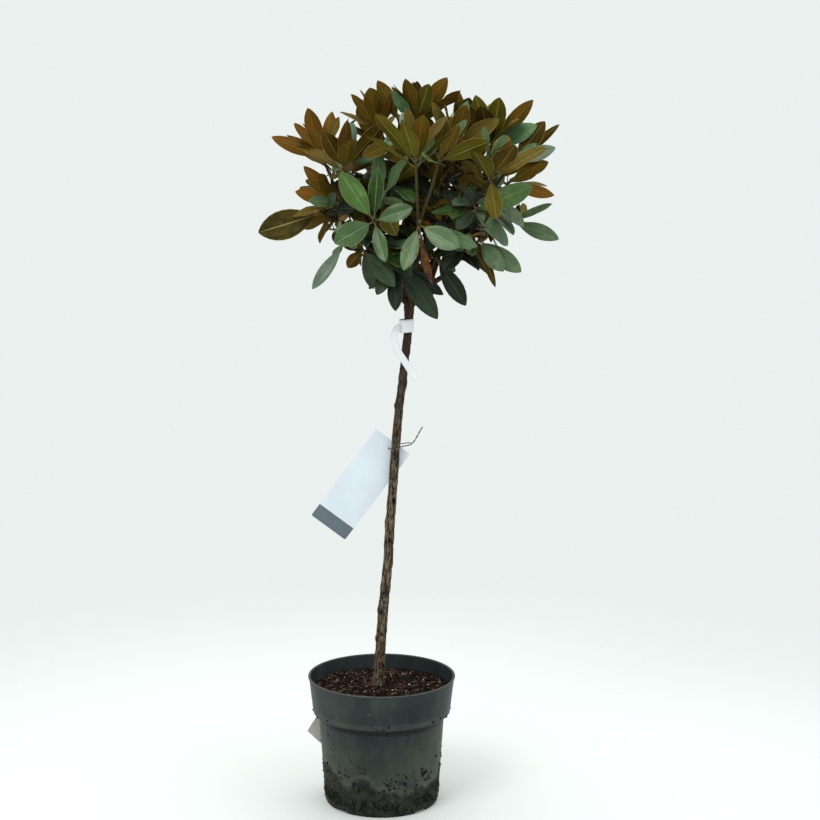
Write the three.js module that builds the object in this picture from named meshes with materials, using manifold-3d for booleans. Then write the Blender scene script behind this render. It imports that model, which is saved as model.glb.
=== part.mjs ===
// A young rhododendron trained as a standard: one bare stem in a nursery pot, with a round head of leaves.
// Millimetres, +Z up. The origin is under the middle of the pot, on the surface that it stands on.

import * as THREE from "three";
import { mergeVertices } from "three/addons/utils/BufferGeometryUtils.js";
import Module from "manifold-3d";

const wasm = await Module();
wasm.setup();

const UP = new THREE.Vector3(0, 0, 1);
const GAP = 0.3;                      // clearance between neighbouring pieces

// ---------------------------------------------------------------- driving dimensions

const POT = {
  height: 235,
  rimRadius: 134.3,
  lip: 2.6,                           // height of the thin lip round the top
  lipReach: 1.6,                      // how far it stands out from the band
  bandRadius: 125.2,                  // lower edge of the wide rim band
  bandFoot: 168,
  bodyTopRadius: 114.5,               // where the body meets the band
  bodyTop: 164,
  bodyFootRadius: 104.2,
  bodyFoot: 6,
  footRadius: 101.5,
  ringRadius: 89,                     // inner edge of the foot ring
  padRadius: 60,                      // flat middle of the underside
  recess: 3,
  shoulder: 3,                        // rise of the ledge under the band, half way out
  wall: 2.2,
  floor: 6,
  floorCorner: 4,
  sides: 34,
};
const FOOT_NOTCH = { count: 4, firstAngle: 45, width: 15, height: 4.5, depth: 30 };

const SOIL = { top: 216, flatRadius: 38, edge: 209 };

const TRUNK = {
  foot: SOIL.top + GAP,
  tip: 960,
  footRadius: 9.4,
  tipRadius: 6.6,
  flare: 3.2,                         // extra radius where the roots spread
  flareHeight: 13,
  head: 920,                          // swollen knuckle that the boughs leave from
  headSwell: 2.4,
  headHeight: 30,
  sides: 12,
  steps: 26,
  crowding: 1.25,                     // over 1, rings stand closer together towards the foot
};
// The stem leans to +X on its way up, in one long lazy curve: x at height.
const TRUNK_LINE = [[-7, 216], [4, 370], [11.5, 450], [15.5, 520], [29, 705], [45, 850], [51, 960]];

// Each limb sets off and arrives outwards and upwards in the given shares.
const BOUGH = {
  footRadius: 5.2,
  tipRadius: 3.7,
  reach: 0.5,                         // how far it goes towards the middle of its mass's shoots
  sag: 14,
  leaving: { outward: 0.8, upward: 0.6 },
  arriving: { outward: 0.6, upward: 0.5 },
  sides: 6,
  steps: 6,
};
const STEM = { radius: 3.5, length: 15, sides: 6 };
const DIRECT_STEM = { leaving: { outward: 0.9, upward: 0.44 }, extraLength: 4 };
const TWIG = { footRadius: 3.1, tipRadius: 2.4, sides: 3, budLength: 3 };
const LIMB_PULL = 0.42;               // how strongly a limb keeps its directions, as a share of its span
const LIMB_CLEARANCE = 1;
const TRUNK_CLEARANCE = 1.5;

const CROWN = { axisX: 48, axisY: 5, radius: 272, top: 1311, bottom: 889 };

const LEAF = {
  length: 104,
  widthShare: 0.32,                   // narrowest leaf, as a share of its length
  widthSpread: 0.07,
  youngShorter: 0.24,                 // the youngest leaf of a whorl is shorter by this share
  thickness: 1.6,
  fold: 0.2,                          // rise of each edge over the midrib, as a share of the half width
  whorlDepth: 14,                     // length of shoot that one whorl's leaves spring from
  roll: 64,                           // range of the turn about the midrib, in degrees
  spacing: 2.5,                       // leaves keep this much more body than they have
  freeFrom: 0.3,                      // leaves of one whorl may meet up to this share of their length
};
// The full range of each chance difference between leaves: degrees, but a share for the length.
const JITTER = { angle: 24, lean: 14, bend: 24, length: 0.24 };
// Where the blade's cross-sections stand, as shares of its length, and how much of the full width they have.
const BLADE = [[0.36, 0.72], [0.74, 0.93]];
const GOLDEN_ANGLE = 137.508;
const TWIG_SEED = 1000;
const TWIG_SEED_STEP = 7919;

// A shoot's rise over the level, its leaves' angles from it, youngest to oldest, and their bend, in degrees.
const POSES = {
  upright: { rise: 76, inner: 12, outer: 56, bend: 8 },
  open: { rise: 34, inner: 48, outer: 84, bend: 16 },
  hanging: { rise: 62, inner: 88, outer: 140, bend: 16 },
  older: { inner: 66, outer: 112, bend: 20 },
};
const AIMED_BEND = 0.12;              // radians
const LEAST_BEND = 0.01;
const OLDER_WHORL = { share: 0.62, leaves: 3, turn: 90 };
const TRIAL_SWINGS = [0, 16, -16, 32, -32, 48];
const TRIAL_BOWS = [0, 14, -14, 28, -28, 42, -42];

// Each mass of foliage: the height at which its bough leaves the trunk, and its shoots. A shoot has the
// place of its tip, its pose, its number of leaves and the turn of its whorl. Its aimed leaves, if any, are
// the ones that reach out to a place of their own, each turned about its midrib by its roll. A shoot without
// an older whorl has lost the leaves lower down its twig.
const MASSES = [
  { name: "left", height: 932, shoots: [
    { tip: [-103, 20, 1172], pose: "upright", leaves: 7, turn: 180, aimed: [
      { to: [-193, 4, 1208], width: 24, roll: 70 },
      { to: [-129, -12, 1258], width: 34, roll: 10 },
      { to: [-152, 26, 1232], width: 24, roll: 60 },
      { to: [-88, 34, 1250], width: 24, roll: -105 },
    ] },
    { tip: [-76, -30, 1098], pose: "upright", leaves: 5, turn: 90, rise: 35, aimed: [
      { to: [-150, -34, 1113], width: 26, roll: 110 },
      { to: [-136, -40, 1156], width: 24, roll: -110 },
      { to: [-125, -56, 1098], width: 20, roll: -105 },
    ] },
    { tip: [-107, -20, 1080], pose: "open", leaves: 0, turn: 100, rise: 40, aimed: [
      { to: [-215, -30, 1041], width: 52, roll: -85 },
    ] },
  ] },
  { name: "front_left", height: 912, shoots: [
    { tip: [-64, -60, 1158], pose: "upright", leaves: 5, turn: 200, aimed: [
      { to: [-98, -90, 1217], width: 30, roll: 50 },
      { to: [-60, -105, 1237], width: 28 },
      { to: [-17, -95, 1247], width: 34, roll: -20 },
    ] },
    { tip: [-12, -165, 1072], pose: "open", leaves: 0, turn: 45, older: false, aimed: [
      { to: [-74, -195, 1034], width: 40, roll: -30 },
      { to: [-67, -175, 1148], width: 38, roll: -20 },
      { to: [-5, -160, 1158], width: 26, roll: 10 },
      { to: [53, -180, 1092], width: 30, roll: 20 },
      { to: [8, -195, 1003], width: 25, roll: 10 },
    ] },
    { tip: [-2, -60, 1105], pose: "open", leaves: 6, turn: 135 },
    { tip: [-66, -66, 1030], pose: "hanging", leaves: 0, turn: 200, aimed: [
      { to: [-118, -92, 949], width: 22, roll: -60 },
      { to: [-86, -50, 1000], width: 14, roll: -60 },
    ] },
    { tip: [-34, -72, 1022], pose: "hanging", leaves: 0, turn: 0, aimed: [
      { to: [24, -98, 955], width: 34 },
      { to: [-58, -84, 984], width: 22, roll: 120 },
      { to: [-14, -84, 948], width: 22 },
    ] },
  ] },
  { name: "front", height: 934, shoots: [
    { tip: [60, -150, 1168], pose: "upright", leaves: 8, turn: 45, older: false, aimed: [
      { to: [-6, -165, 1248], width: 32, roll: 60 },
      { to: [69, -185, 1246], width: 34, roll: -10 },
    ] },
    { tip: [96, -135, 1172], pose: "upright", leaves: 5, turn: 200, older: false, aimed: [
      { to: [181, -150, 1202], width: 31, roll: -80 },
      { to: [130, -160, 1229], width: 24, roll: -50 },
    ] },
    { tip: [65, -165, 1066], pose: "open", leaves: 0, turn: 225, older: false, aimed: [
      { to: [39, -195, 990], width: 28 },
      { to: [131, -190, 1027], width: 36, roll: 30 },
      { to: [162, -172, 1026], width: 26, roll: 40 },
      { to: [84, -150, 957], width: 16, roll: 60 },
    ] },
  ] },
  { name: "front_right", height: 910, shoots: [
    { tip: [187, -110, 1146], pose: "upright", leaves: 8, turn: 180, aimed: [
      { to: [195, -122, 1070], width: 34, roll: 60 },
    ] },
    { tip: [121, -50, 1188], pose: "upright", leaves: 7, turn: 45 },
    { tip: [158, -85, 1084], pose: "open", leaves: 0, turn: 10, aimed: [
      { to: [263, -60, 1124], width: 38, roll: 25 },
    ] },
  ] },
  { name: "right", height: 926, shoots: [
    { tip: [237, 20, 1062], pose: "open", leaves: 0, turn: 0, rise: 20, aimed: [
      { to: [296, -14, 1093], width: 14, roll: 170 },
      { to: [310, -14, 1031], width: 32, roll: 110 },
      { to: [244, -6, 1092], width: 14 },
      { to: [262, 70, 1086], width: 26 },
    ] },
    { tip: [224, -10, 1130], pose: "upright", leaves: 3, turn: 315, rise: 50, aimed: [
      { to: [279, -34, 1165], width: 28, roll: -65 },
      { to: [302, 0, 1106], width: 22, roll: -100 },
    ] },
    { tip: [232, -24, 1168], pose: "upright", leaves: 0, turn: 0, rise: 50, aimed: [
      { to: [283, -20, 1234], width: 32, roll: 165 },
      { to: [309, 4, 1228], width: 16, roll: -155 },
      { to: [299, -46, 1190], width: 26, roll: 90 },
      { to: [266, -50, 1196], width: 16, roll: 155 },
    ] },
    { tip: [172, -48, 1038], pose: "hanging", leaves: 0, turn: 0, aimed: [
      { to: [243, -55, 975], width: 32, roll: 80 },
      { to: [210, -78, 979], width: 30, roll: 75 },
      { to: [198, -70, 949], width: 13, roll: -115 },
    ] },
  ] },
  { name: "top_right", height: 943, shoots: [
    { tip: [192, 20, 1194], pose: "upright", leaves: 8, turn: 270, aimed: [
      { to: [263, 4, 1273], width: 27, roll: -60 },
      { to: [128, -20, 1271], width: 40, roll: 50 },
      { to: [205, -14, 1277], width: 34, roll: 5 },
      { to: [164, 34, 1279], width: 32, roll: 100 },
      { to: [264, -46, 1228], width: 32, roll: 100 },
    ] },
    { tip: [138, 115, 1202], pose: "upright", leaves: 9, turn: 10 },
    { tip: [210, 105, 1138], pose: "upright", leaves: 8, turn: 35 },
  ] },
  { name: "top", height: 960, shoots: [
    { tip: [61, 0, 1236], pose: "upright", leaves: 8, turn: 225, aimed: [
      { to: [113, -14, 1310], width: 30, roll: -70 },
      { to: [43, -32, 1308], width: 26, roll: 30 },
      { to: [82, -28, 1299], width: 30, roll: -15 },
      { to: [20, -80, 1278], width: 24, roll: 10 },
    ] },
    { tip: [30, -34, 1236], pose: "upright", leaves: 0, turn: 225, aimed: [
      { to: [-5, -40, 1304], width: 30, roll: 30 },
    ] },
    { tip: [-2, -20, 1224], pose: "upright", leaves: 7, turn: 135, aimed: [
      { to: [-51, -28, 1281], width: 18, roll: 70 },
      { to: [-20, -50, 1292], width: 36, roll: 5 },
    ] },
    { tip: [58, 85, 1230], pose: "upright", leaves: 9, turn: 70 },
  ] },
  { name: "back_left", height: 914, shoots: [
    { tip: [-82, 105, 1148], pose: "upright", leaves: 8, turn: 15 },
    { tip: [-17, 130, 1192], pose: "upright", leaves: 9, turn: 0 },
    { tip: [-72, 115, 1080], pose: "open", leaves: 8, turn: 45 },
  ] },
  { name: "back", height: 934, shoots: [
    { tip: [68, 185, 1162], pose: "upright", leaves: 9, turn: 0 },
    { tip: [23, 190, 1095], pose: "open", leaves: 8, turn: 30 },
  ] },
  { name: "back_right", height: 911, shoots: [
    { tip: [128, 180, 1110], pose: "open", leaves: 8, turn: 0 },
    { tip: [188, 120, 1070], pose: "open", leaves: 8, turn: 30 },
    { tip: [112, 90, 1062], pose: "open", leaves: 7, turn: 60 },
  ] },
  { name: "skirt_front", height: 896, direct: true, shoots: [
    { tip: [24, -64, 1000], pose: "hanging", leaves: 0, turn: 90, aimed: [
      { to: [24, -94, 912], width: 28 },
      { to: [-8, -90, 940], width: 26, roll: -20 },
      { to: [98, -96, 899], width: 36, roll: 20 },
      { to: [108, -62, 935], width: 24, roll: 60 },
      { to: [-24, -52, 946], width: 20, roll: -30 },
    ] },
    { tip: [96, -62, 1006], pose: "hanging", leaves: 0, turn: 135, aimed: [
      { to: [147, -75, 919], width: 31, roll: 50 },
      { to: [128, -40, 972], width: 24, roll: 120 },
    ] },
  ] },
  { name: "skirt_back", height: 898, direct: true, shoots: [
    { tip: [24, 60, 1040], pose: "hanging", leaves: 7, turn: 20 },
    { tip: [86, 78, 1004], pose: "hanging", leaves: 7, turn: 0 },
  ] },
];

// The sale card hangs behind the stem on a bent wire, and a loop label is stuck round the top of the stem.
const CARD = {
  length: 197,
  width: 76,
  thickness: 1,
  corner: 3,
  holeRadius: 3,
  holeInset: 12,
  tilt: 53.3,                         // of its long edge under the level, in degrees
  left: -9.8,
  front: 9.6,
  top: 688,
};
const WIRE = { radius: 0.9, sides: 5, steps: 32 };
const WIRE_LINE = [
  [73, -10, 695], [69, -10, 689], [55, -10, 666], [40, -12, 661], [25, -12.4, 658], [15, -9, 655.5],
  [12.7, 0, 654.4], [12.7, 10.1, 654.2], [15, 15, 655], [28, 15, 659], [43, 9, 663], [52, -3, 665.5],
];
const LABEL = {
  radius: 12.4,
  thickness: 1,
  height: 23,
  middle: 876,                        // height of the loop's middle
  offset: -3,                         // the loop hangs to the left of the stem
  tailWidth: 20,
  sides: 20,
  steps: 10,
};
const LABEL_TAIL = [
  [32, -7, 879], [23, -12, 862], [26, -14, 838], [40, -14.5, 815], [56, -14.5, 790], [62, -14.5, 780],
];
// A blank plate behind the pot, flat against its tapered side and set cornerwise.
const POT_LABEL = {
  length: 92,
  width: 40,
  thickness: 1,
  bearing: 130,                       // of the plate's place round the pot, in degrees
  turn: 45,                           // of its long edge over the level
  along: 40.3,                        // its middle, sideways from where the plate touches the pot
  height: 98.6,
};

// ---------------------------------------------------------------- materials

function plain(color, roughness, metalness = 0) {
  return new THREE.MeshStandardMaterial({ color, roughness, metalness });
}

const MATERIALS = {
  pot: plain(0x30393c, 0.7),
  soil: plain(0x2c1c12, 1),
  bark: plain(0x5a4433, 0.9),
  foliage: plain(0x3d5a34, 0.6),
  card: plain(0xdfe6ec, 0.5),
  wire: plain(0x22282a, 0.5, 0.6),
};

// ---------------------------------------------------------------- solids

/** A manifold solid from a closed geometry. */
function solidOf(geometry) {
  geometry.deleteAttribute("normal");
  geometry.deleteAttribute("uv");
  const merged = mergeVertices(geometry, 1e-4);
  return new wasm.Manifold(new wasm.Mesh({
    numProp: 3,
    vertProperties: new Float32Array(merged.attributes.position.array),
    triVerts: new Uint32Array(merged.index.array),
  }));
}

function geometryOf(solid) {
  const mesh = solid.getMesh();
  const geometry = new THREE.BufferGeometry();
  geometry.setAttribute("position", new THREE.BufferAttribute(mesh.vertProperties, 3));
  geometry.setIndex(new THREE.BufferAttribute(mesh.triVerts, 1));
  geometry.computeVertexNormals();
  return geometry;
}

function largestPiece(solid) {
  const pieces = solid.decompose();
  return pieces.reduce((best, piece) => (piece.volume() > best.volume() ? piece : best));
}

function node(name, solid, material) {
  const mesh = new THREE.Mesh(geometryOf(solid), material);
  mesh.name = name;
  return mesh;
}

/** A profile of [radius, height] pairs turned round +Z. */
function turned(profile, sides) {
  const points = profile.map(([radius, height]) => new THREE.Vector2(radius, height));
  return new THREE.LatheGeometry(points, sides).rotateX(Math.PI / 2);
}

/** A round limb of changing radius through a row of points, with both ends cut square. */
function limb(points, radiusAt, sides) {
  const steps = points.length - 1;
  const geometry = new THREE.CylinderGeometry(1, 1, 1, sides, steps);
  const rings = [];
  let side = sideOf(points[1].clone().sub(points[0]).normalize());
  for (let i = 0; i <= steps; i += 1) {
    const before = points[Math.max(i - 1, 0)];
    const after = points[Math.min(i + 1, steps)];
    const heading = after.clone().sub(before).normalize();
    side = side.clone().addScaledVector(heading, -side.dot(heading)).normalize();
    rings.push({ side, third: new THREE.Vector3().crossVectors(heading, side), radius: radiusAt(i / steps) });
  }
  const place = geometry.attributes.position;
  const vertex = new THREE.Vector3();
  for (let i = 0; i < place.count; i += 1) {
    vertex.fromBufferAttribute(place, i);
    const step = Math.round((0.5 + vertex.y) * steps);
    const ring = rings[step];
    const point = points[step].clone();
    point.addScaledVector(ring.side, vertex.x * ring.radius);
    point.addScaledVector(ring.third, -vertex.z * ring.radius);
    place.setXYZ(i, point.x, point.y, point.z);
  }
  return solidOf(geometry);
}

/** A level direction square to a heading, or +X square to it where the heading is upright. */
function sideOf(heading) {
  const side = new THREE.Vector3().crossVectors(UP, heading);
  if (side.length() < 0.05) side.set(1, 0, 0).addScaledVector(heading, -heading.x);
  return side.normalize();
}

function tapered(from, to) {
  return (share) => from + (to - from) * share;
}

/** A direction that goes outwards and upwards in given shares. */
function rising(outward, shares) {
  return outward.clone().multiplyScalar(shares.outward).addScaledVector(UP, shares.upward).normalize();
}

/** A bough or twig through its points, made thicker all over by a margin. */
function taperedLimb({ footRadius, tipRadius, sides }, points, margin = 0) {
  return limb(points, tapered(footRadius + margin, tipRadius + margin), sides);
}

/** The curve of a limb that sets off along one direction and arrives along another. */
function limbCurve(start, startDirection, end, endDirection) {
  const pull = LIMB_PULL * start.distanceTo(end);
  const leaving = start.clone().addScaledVector(startDirection, pull);
  const arriving = end.clone().addScaledVector(endDirection, -pull);
  return new THREE.CubicBezierCurve3(start, leaving, arriving, end);
}

// ---------------------------------------------------------------- pot and soil

/** Radius of the pot's outer face, going up its body and its rim band to the lip. */
function potRadius(height) {
  const body = [POT.bodyFoot, POT.bodyFootRadius, POT.bodyTop, POT.bodyTopRadius];
  const band = [POT.bandFoot, POT.bandRadius, POT.height - POT.lip, POT.rimRadius - POT.lipReach];
  const [low, lowRadius, high, highRadius] = height > POT.bandFoot ? band : body;
  return lowRadius + (highRadius - lowRadius) * (height - low) / (high - low);
}

function potSolid() {
  const { wall, floor, floorCorner, bodyFoot, bodyTop, bandFoot, height, lip, lipReach, recess } = POT;
  const inner = potRadius(floor + floorCorner) - wall;
  const profile = [
    [0, 0],
    [POT.padRadius, 0],
    [POT.padRadius + recess, recess],
    [POT.ringRadius - recess, recess],
    [POT.ringRadius, 0],
    [POT.footRadius, 0],
    [POT.bodyFootRadius, bodyFoot],
    [POT.bodyTopRadius, bodyTop],
    [(POT.bodyTopRadius + POT.bandRadius) / 2, bodyTop + POT.shoulder],
    [POT.bandRadius, bandFoot],
    [POT.rimRadius - lipReach, height - lip],
    [POT.rimRadius, height - lip],
    [POT.rimRadius, height],
    [POT.rimRadius - lipReach - wall, height],
    [POT.bandRadius - wall, bandFoot + wall],
    [POT.bodyTopRadius - wall, bodyTop + wall],
    [inner, floor + floorCorner],
    [inner - floorCorner, floor],
    [0, floor],
  ];
  let pot = solidOf(turned(profile, POT.sides));
  for (let i = 0; i < FOOT_NOTCH.count; i += 1) {
    const angle = THREE.MathUtils.degToRad(FOOT_NOTCH.firstAngle + i * 360 / FOOT_NOTCH.count);
    const notch = new THREE.BoxGeometry(FOOT_NOTCH.depth, FOOT_NOTCH.width, FOOT_NOTCH.height * 2);
    notch.translate((POT.ringRadius + POT.footRadius) / 2, 0, 0);
    notch.rotateZ(angle);
    pot = pot.subtract(solidOf(notch));
  }
  return pot;
}

function soilSolid() {
  const inset = POT.wall + GAP * 1.5;
  const low = POT.floor + POT.floorCorner;
  return solidOf(turned([
    [0, POT.floor + GAP],
    [potRadius(low) - inset - POT.floorCorner, POT.floor + GAP],
    [potRadius(low) - inset, low],
    [POT.bodyTopRadius - inset, POT.bodyTop + inset],
    [POT.bandRadius - inset, POT.bandFoot + inset],
    [potRadius(SOIL.edge) - inset, SOIL.edge],
    [(potRadius(SOIL.edge) + SOIL.flatRadius) / 2, SOIL.top - 2],
    [SOIL.flatRadius, SOIL.top],
    [0, SOIL.top],
  ], POT.sides));
}

// ---------------------------------------------------------------- trunk and boughs

const trunkCurve = new THREE.CatmullRomCurve3(TRUNK_LINE.map(([x, z]) => new THREE.Vector3(x, 0, z)));

function trunkRadius(height) {
  const share = (height - TRUNK.foot) / (TRUNK.tip - TRUNK.foot);
  const flare = TRUNK.flare * Math.exp(-(height - TRUNK.foot) / TRUNK.flareHeight);
  const swell = TRUNK.headSwell * Math.exp(-(((height - TRUNK.head) / TRUNK.headHeight) ** 2));
  return TRUNK.footRadius + (TRUNK.tipRadius - TRUNK.footRadius) * share + flare + swell;
}

/** Middle of the trunk at a height. */
function trunkPoint(height) {
  let low = 0;
  let high = 1;
  for (let i = 0; i < 30; i += 1) {
    const middle = (low + high) / 2;
    if (trunkCurve.getPoint(middle).z < height) low = middle;
    else high = middle;
  }
  return trunkCurve.getPoint(low);
}

/** The trunk, made thicker all over by a margin. Its rings are level, so both its ends are flat cuts. */
function trunkSolid(margin) {
  const geometry = new THREE.CylinderGeometry(1, 1, 1, TRUNK.sides, TRUNK.steps);
  const place = geometry.attributes.position;
  const vertex = new THREE.Vector3();
  for (let i = 0; i < place.count; i += 1) {
    vertex.fromBufferAttribute(place, i);
    const share = (0.5 + vertex.y) ** TRUNK.crowding;
    const height = TRUNK.foot + (TRUNK.tip - TRUNK.foot) * share;
    const middle = trunkPoint(height);
    const radius = trunkRadius(height) + margin;
    const past = margin * (Math.floor(share) - Number(share === 0));
    place.setXYZ(i, middle.x + vertex.x * radius, middle.y - vertex.z * radius, height + past);
  }
  return solidOf(geometry);
}

function shootsMiddle(mass) {
  const middle = new THREE.Vector3();
  for (const shoot of mass.shoots) {
    middle.add(new THREE.Vector3(...shoot.tip));
  }
  return middle.divideScalar(mass.shoots.length);
}

/** The bough that carries a mass: from the middle of the trunk to half way out to the mass's shoots. */
function boughCurve(mass) {
  const start = trunkPoint(mass.height);
  const middle = shootsMiddle(mass);
  const end = start.clone().lerp(middle, BOUGH.reach);
  end.z -= BOUGH.sag;
  const aim = middle.clone().sub(start).normalize();
  const leaving = rising(aim.clone().setZ(0).normalize(), BOUGH.leaving);
  return limbCurve(start, mass.name === "top" ? UP : leaving, end, rising(aim, BOUGH.arriving));
}

// ---------------------------------------------------------------- leaves

/** A seeded source of numbers from 0 to 1. */
function randomSource(seed) {
  let state = seed % 4294967296;
  const draw = () => {
    state = (state * 1664525 + 1013904223) % 4294967296;
    return state / 4294967296;
  };
  for (let i = 0; i < 3; i += 1) draw();
  return draw;
}

function shootAxis(shoot) {
  const [x, y] = shoot.tip;
  const bearing = Math.atan2(y - CROWN.axisY, x - CROWN.axisX);
  const rise = THREE.MathUtils.degToRad(shoot.rise ?? POSES[shoot.pose].rise);
  const level = Math.cos(rise);
  return new THREE.Vector3(Math.cos(bearing) * level, Math.sin(bearing) * level, Math.sin(rise));
}

/** A whorl of leaves round a shoot, from the oldest and lowest to the youngest. */
function whorl(tip, axis, pose, count, turn, draw) {
  const across = sideOf(axis);
  const third = new THREE.Vector3().crossVectors(axis, across);
  const leaves = [];
  for (let i = 0; i < count; i += 1) {
    const young = i / (count - 1);
    const angle = THREE.MathUtils.degToRad(turn + i * GOLDEN_ANGLE + (draw() - 0.5) * JITTER.angle);
    const spread = pose.outer + (pose.inner - pose.outer) * young;
    const lean = THREE.MathUtils.degToRad(spread + (draw() - 0.5) * JITTER.lean);
    const outward = across.clone().multiplyScalar(Math.cos(angle)).addScaledVector(third, Math.sin(angle));
    const along = axis.clone().multiplyScalar(Math.cos(lean)).addScaledVector(outward, Math.sin(lean));
    const face = axis.clone().multiplyScalar(Math.sin(lean)).addScaledVector(outward, -Math.cos(lean));
    face.applyAxisAngle(along, THREE.MathUtils.degToRad((draw() - 0.5) * LEAF.roll));
    const grown = LEAF.length * (1 - LEAF.youngShorter * young);
    const length = grown * (1 + JITTER.length * (draw() - 0.5));
    const width = length * (LEAF.widthShare + LEAF.widthSpread * draw());
    const bend = Math.max(THREE.MathUtils.degToRad(pose.bend + (draw() - 0.5) * JITTER.bend), LEAST_BEND);
    const root = tip.clone().addScaledVector(axis, -(1 - young) * LEAF.whorlDepth);
    leaves.push({ root, along, face, length, width, bend });
  }
  return leaves;
}

/** A leaf that reaches from a shoot's tip to a place of its own. */
function aimedLeaf(tip, axis, { to, width, roll = 0 }) {
  const root = tip.clone().addScaledVector(axis, -LEAF.whorlDepth / 2);
  const along = new THREE.Vector3(...to).sub(root);
  const length = along.length();
  along.normalize();
  const face = axis.clone().addScaledVector(along, -axis.dot(along)).normalize();
  face.applyAxisAngle(along, THREE.MathUtils.degToRad(roll));
  return { root, along, face, length, width, bend: AIMED_BEND };
}

/** Place and directions of a leaf's midrib at a share of its length: an arc that bends away from its face. */
function midrib(leaf, share) {
  const radius = leaf.length / leaf.bend;
  const sine = Math.sin(leaf.bend * share);
  const cosine = Math.cos(leaf.bend * share);
  const point = leaf.root.clone();
  point.addScaledVector(leaf.along, radius * sine).addScaledVector(leaf.face, -radius * (1 - cosine));
  const along = leaf.along.clone().multiplyScalar(cosine).addScaledVector(leaf.face, -sine);
  const face = leaf.face.clone().multiplyScalar(cosine).addScaledVector(leaf.along, sine);
  return { point, along, face };
}

/** A leaf as a closed wedge of twelve faces: two edges above a keel, drawn to a point at root and tip. */
function leafSolid(leaf, start, margin) {
  const corners = [midrib(leaf, start).point];
  for (const [share, fill] of BLADE) {
    const { point, along, face } = midrib(leaf, share);
    const side = new THREE.Vector3().crossVectors(along, face);
    const half = leaf.width / 2 * fill + margin / 2;
    const rise = half * LEAF.fold + margin / 2;
    corners.push(point.clone().addScaledVector(side, half).addScaledVector(face, rise));
    corners.push(point.clone().addScaledVector(side, -half).addScaledVector(face, rise));
    corners.push(point.clone().addScaledVector(face, -LEAF.thickness - margin / 2));
  }
  corners.push(midrib(leaf, 1).point);
  const faces = [0, 1, 2, 0, 3, 1, 0, 2, 3, 7, 5, 4, 7, 6, 5, 7, 4, 6];
  for (const [a, b] of [[1, 2], [2, 3], [3, 1]]) {
    faces.push(a, b + 3, b, a, a + 3, b + 3);
  }
  const geometry = new THREE.BufferGeometry().setFromPoints(corners);
  geometry.setIndex(faces);
  return solidOf(geometry);
}

// ---------------------------------------------------------------- card, wire and label

function cardSolid() {
  const { length, width, corner, thickness } = CARD;
  const outline = new THREE.Shape();
  outline.moveTo(corner, 0);
  outline.lineTo(length - corner, 0);
  outline.quadraticCurveTo(length, 0, length, corner);
  outline.lineTo(length, width - corner);
  outline.quadraticCurveTo(length, width, length - corner, width);
  outline.lineTo(corner, width);
  outline.quadraticCurveTo(0, width, 0, width - corner);
  outline.lineTo(0, corner);
  outline.quadraticCurveTo(0, 0, corner, 0);
  const hole = new THREE.Path();
  hole.absarc(CARD.holeInset, width / 2, CARD.holeRadius, 0, Math.PI * 2, true);
  outline.holes.push(hole);
  const settings = { depth: thickness, bevelEnabled: false, curveSegments: 5 };
  const geometry = new THREE.ExtrudeGeometry(outline, settings);
  geometry.rotateX(Math.PI / 2);
  geometry.rotateY(-THREE.MathUtils.degToRad(180 + CARD.tilt));
  geometry.translate(CARD.left, CARD.front + thickness, CARD.top);
  return solidOf(geometry);
}

function wireSolid() {
  const curve = new THREE.CatmullRomCurve3(WIRE_LINE.map((point) => new THREE.Vector3(...point)));
  return limb(curve.getPoints(WIRE.steps), () => WIRE.radius, WIRE.sides);
}

/** The loop round the stem and its loose tail, a ribbon that crosses in front of the stem. */
function labelSolid() {
  const { radius, thickness, height } = LABEL;
  const band = [
    [radius, -height / 2],
    [radius + thickness, -height / 2],
    [radius + thickness, height / 2],
    [radius, height / 2],
    [radius, -height / 2],
  ];
  const loop = turned(band, LABEL.sides);
  loop.translate(trunkPoint(LABEL.middle).x + LABEL.offset, 0, LABEL.middle);
  const curve = new THREE.CatmullRomCurve3(LABEL_TAIL.map((point) => new THREE.Vector3(...point)));
  const ribbon = new THREE.BoxGeometry(1, 1, 1, LABEL.steps, 1, 1);
  const place = ribbon.attributes.position;
  const vertex = new THREE.Vector3();
  for (let i = 0; i < place.count; i += 1) {
    vertex.fromBufferAttribute(place, i);
    const share = vertex.x + 0.5;
    const forward = curve.getTangentAt(share);
    const across = new THREE.Vector3(0, -1, 0).cross(forward).normalize();
    const outward = new THREE.Vector3().crossVectors(forward, across);
    const point = curve.getPointAt(share);
    point.addScaledVector(across, vertex.y * LABEL.tailWidth);
    point.addScaledVector(outward, vertex.z * thickness);
    place.setXYZ(i, point.x, point.y, point.z);
  }
  return solidOf(loop).add(solidOf(ribbon));
}

/** The plate behind the pot, which stands off the wall by the gap and leans with it. */
function potLabelSolid() {
  const { length, width, thickness, along, height } = POT_LABEL;
  const lean = Math.atan2(POT.bodyTopRadius - POT.bodyFootRadius, POT.bodyTop - POT.bodyFoot);
  const plate = new THREE.BoxGeometry(thickness, length, width);
  plate.rotateX(THREE.MathUtils.degToRad(POT_LABEL.turn));
  plate.translate(GAP + thickness / 2, along, 0);
  plate.rotateY(lean);
  plate.translate(potRadius(height), 0, height);
  plate.rotateZ(THREE.MathUtils.degToRad(POT_LABEL.bearing));
  return solidOf(plate);
}

// ---------------------------------------------------------------- growth

/**
 * A body with the ball round it, for quick tests of what is near what. Pieces of one whorl or one mass have
 * the same owner. They meet at their roots, so between themselves only their outer parts are tested, if any.
 */
function placed(whole, owner, outer = null) {
  const { min, max } = whole.boundingBox();
  const low = new THREE.Vector3(...min);
  const high = new THREE.Vector3(...max);
  const middle = low.clone().add(high).divideScalar(2);
  return { whole, outer, owner, middle, radius: low.distanceTo(high) / 2 };
}

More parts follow.
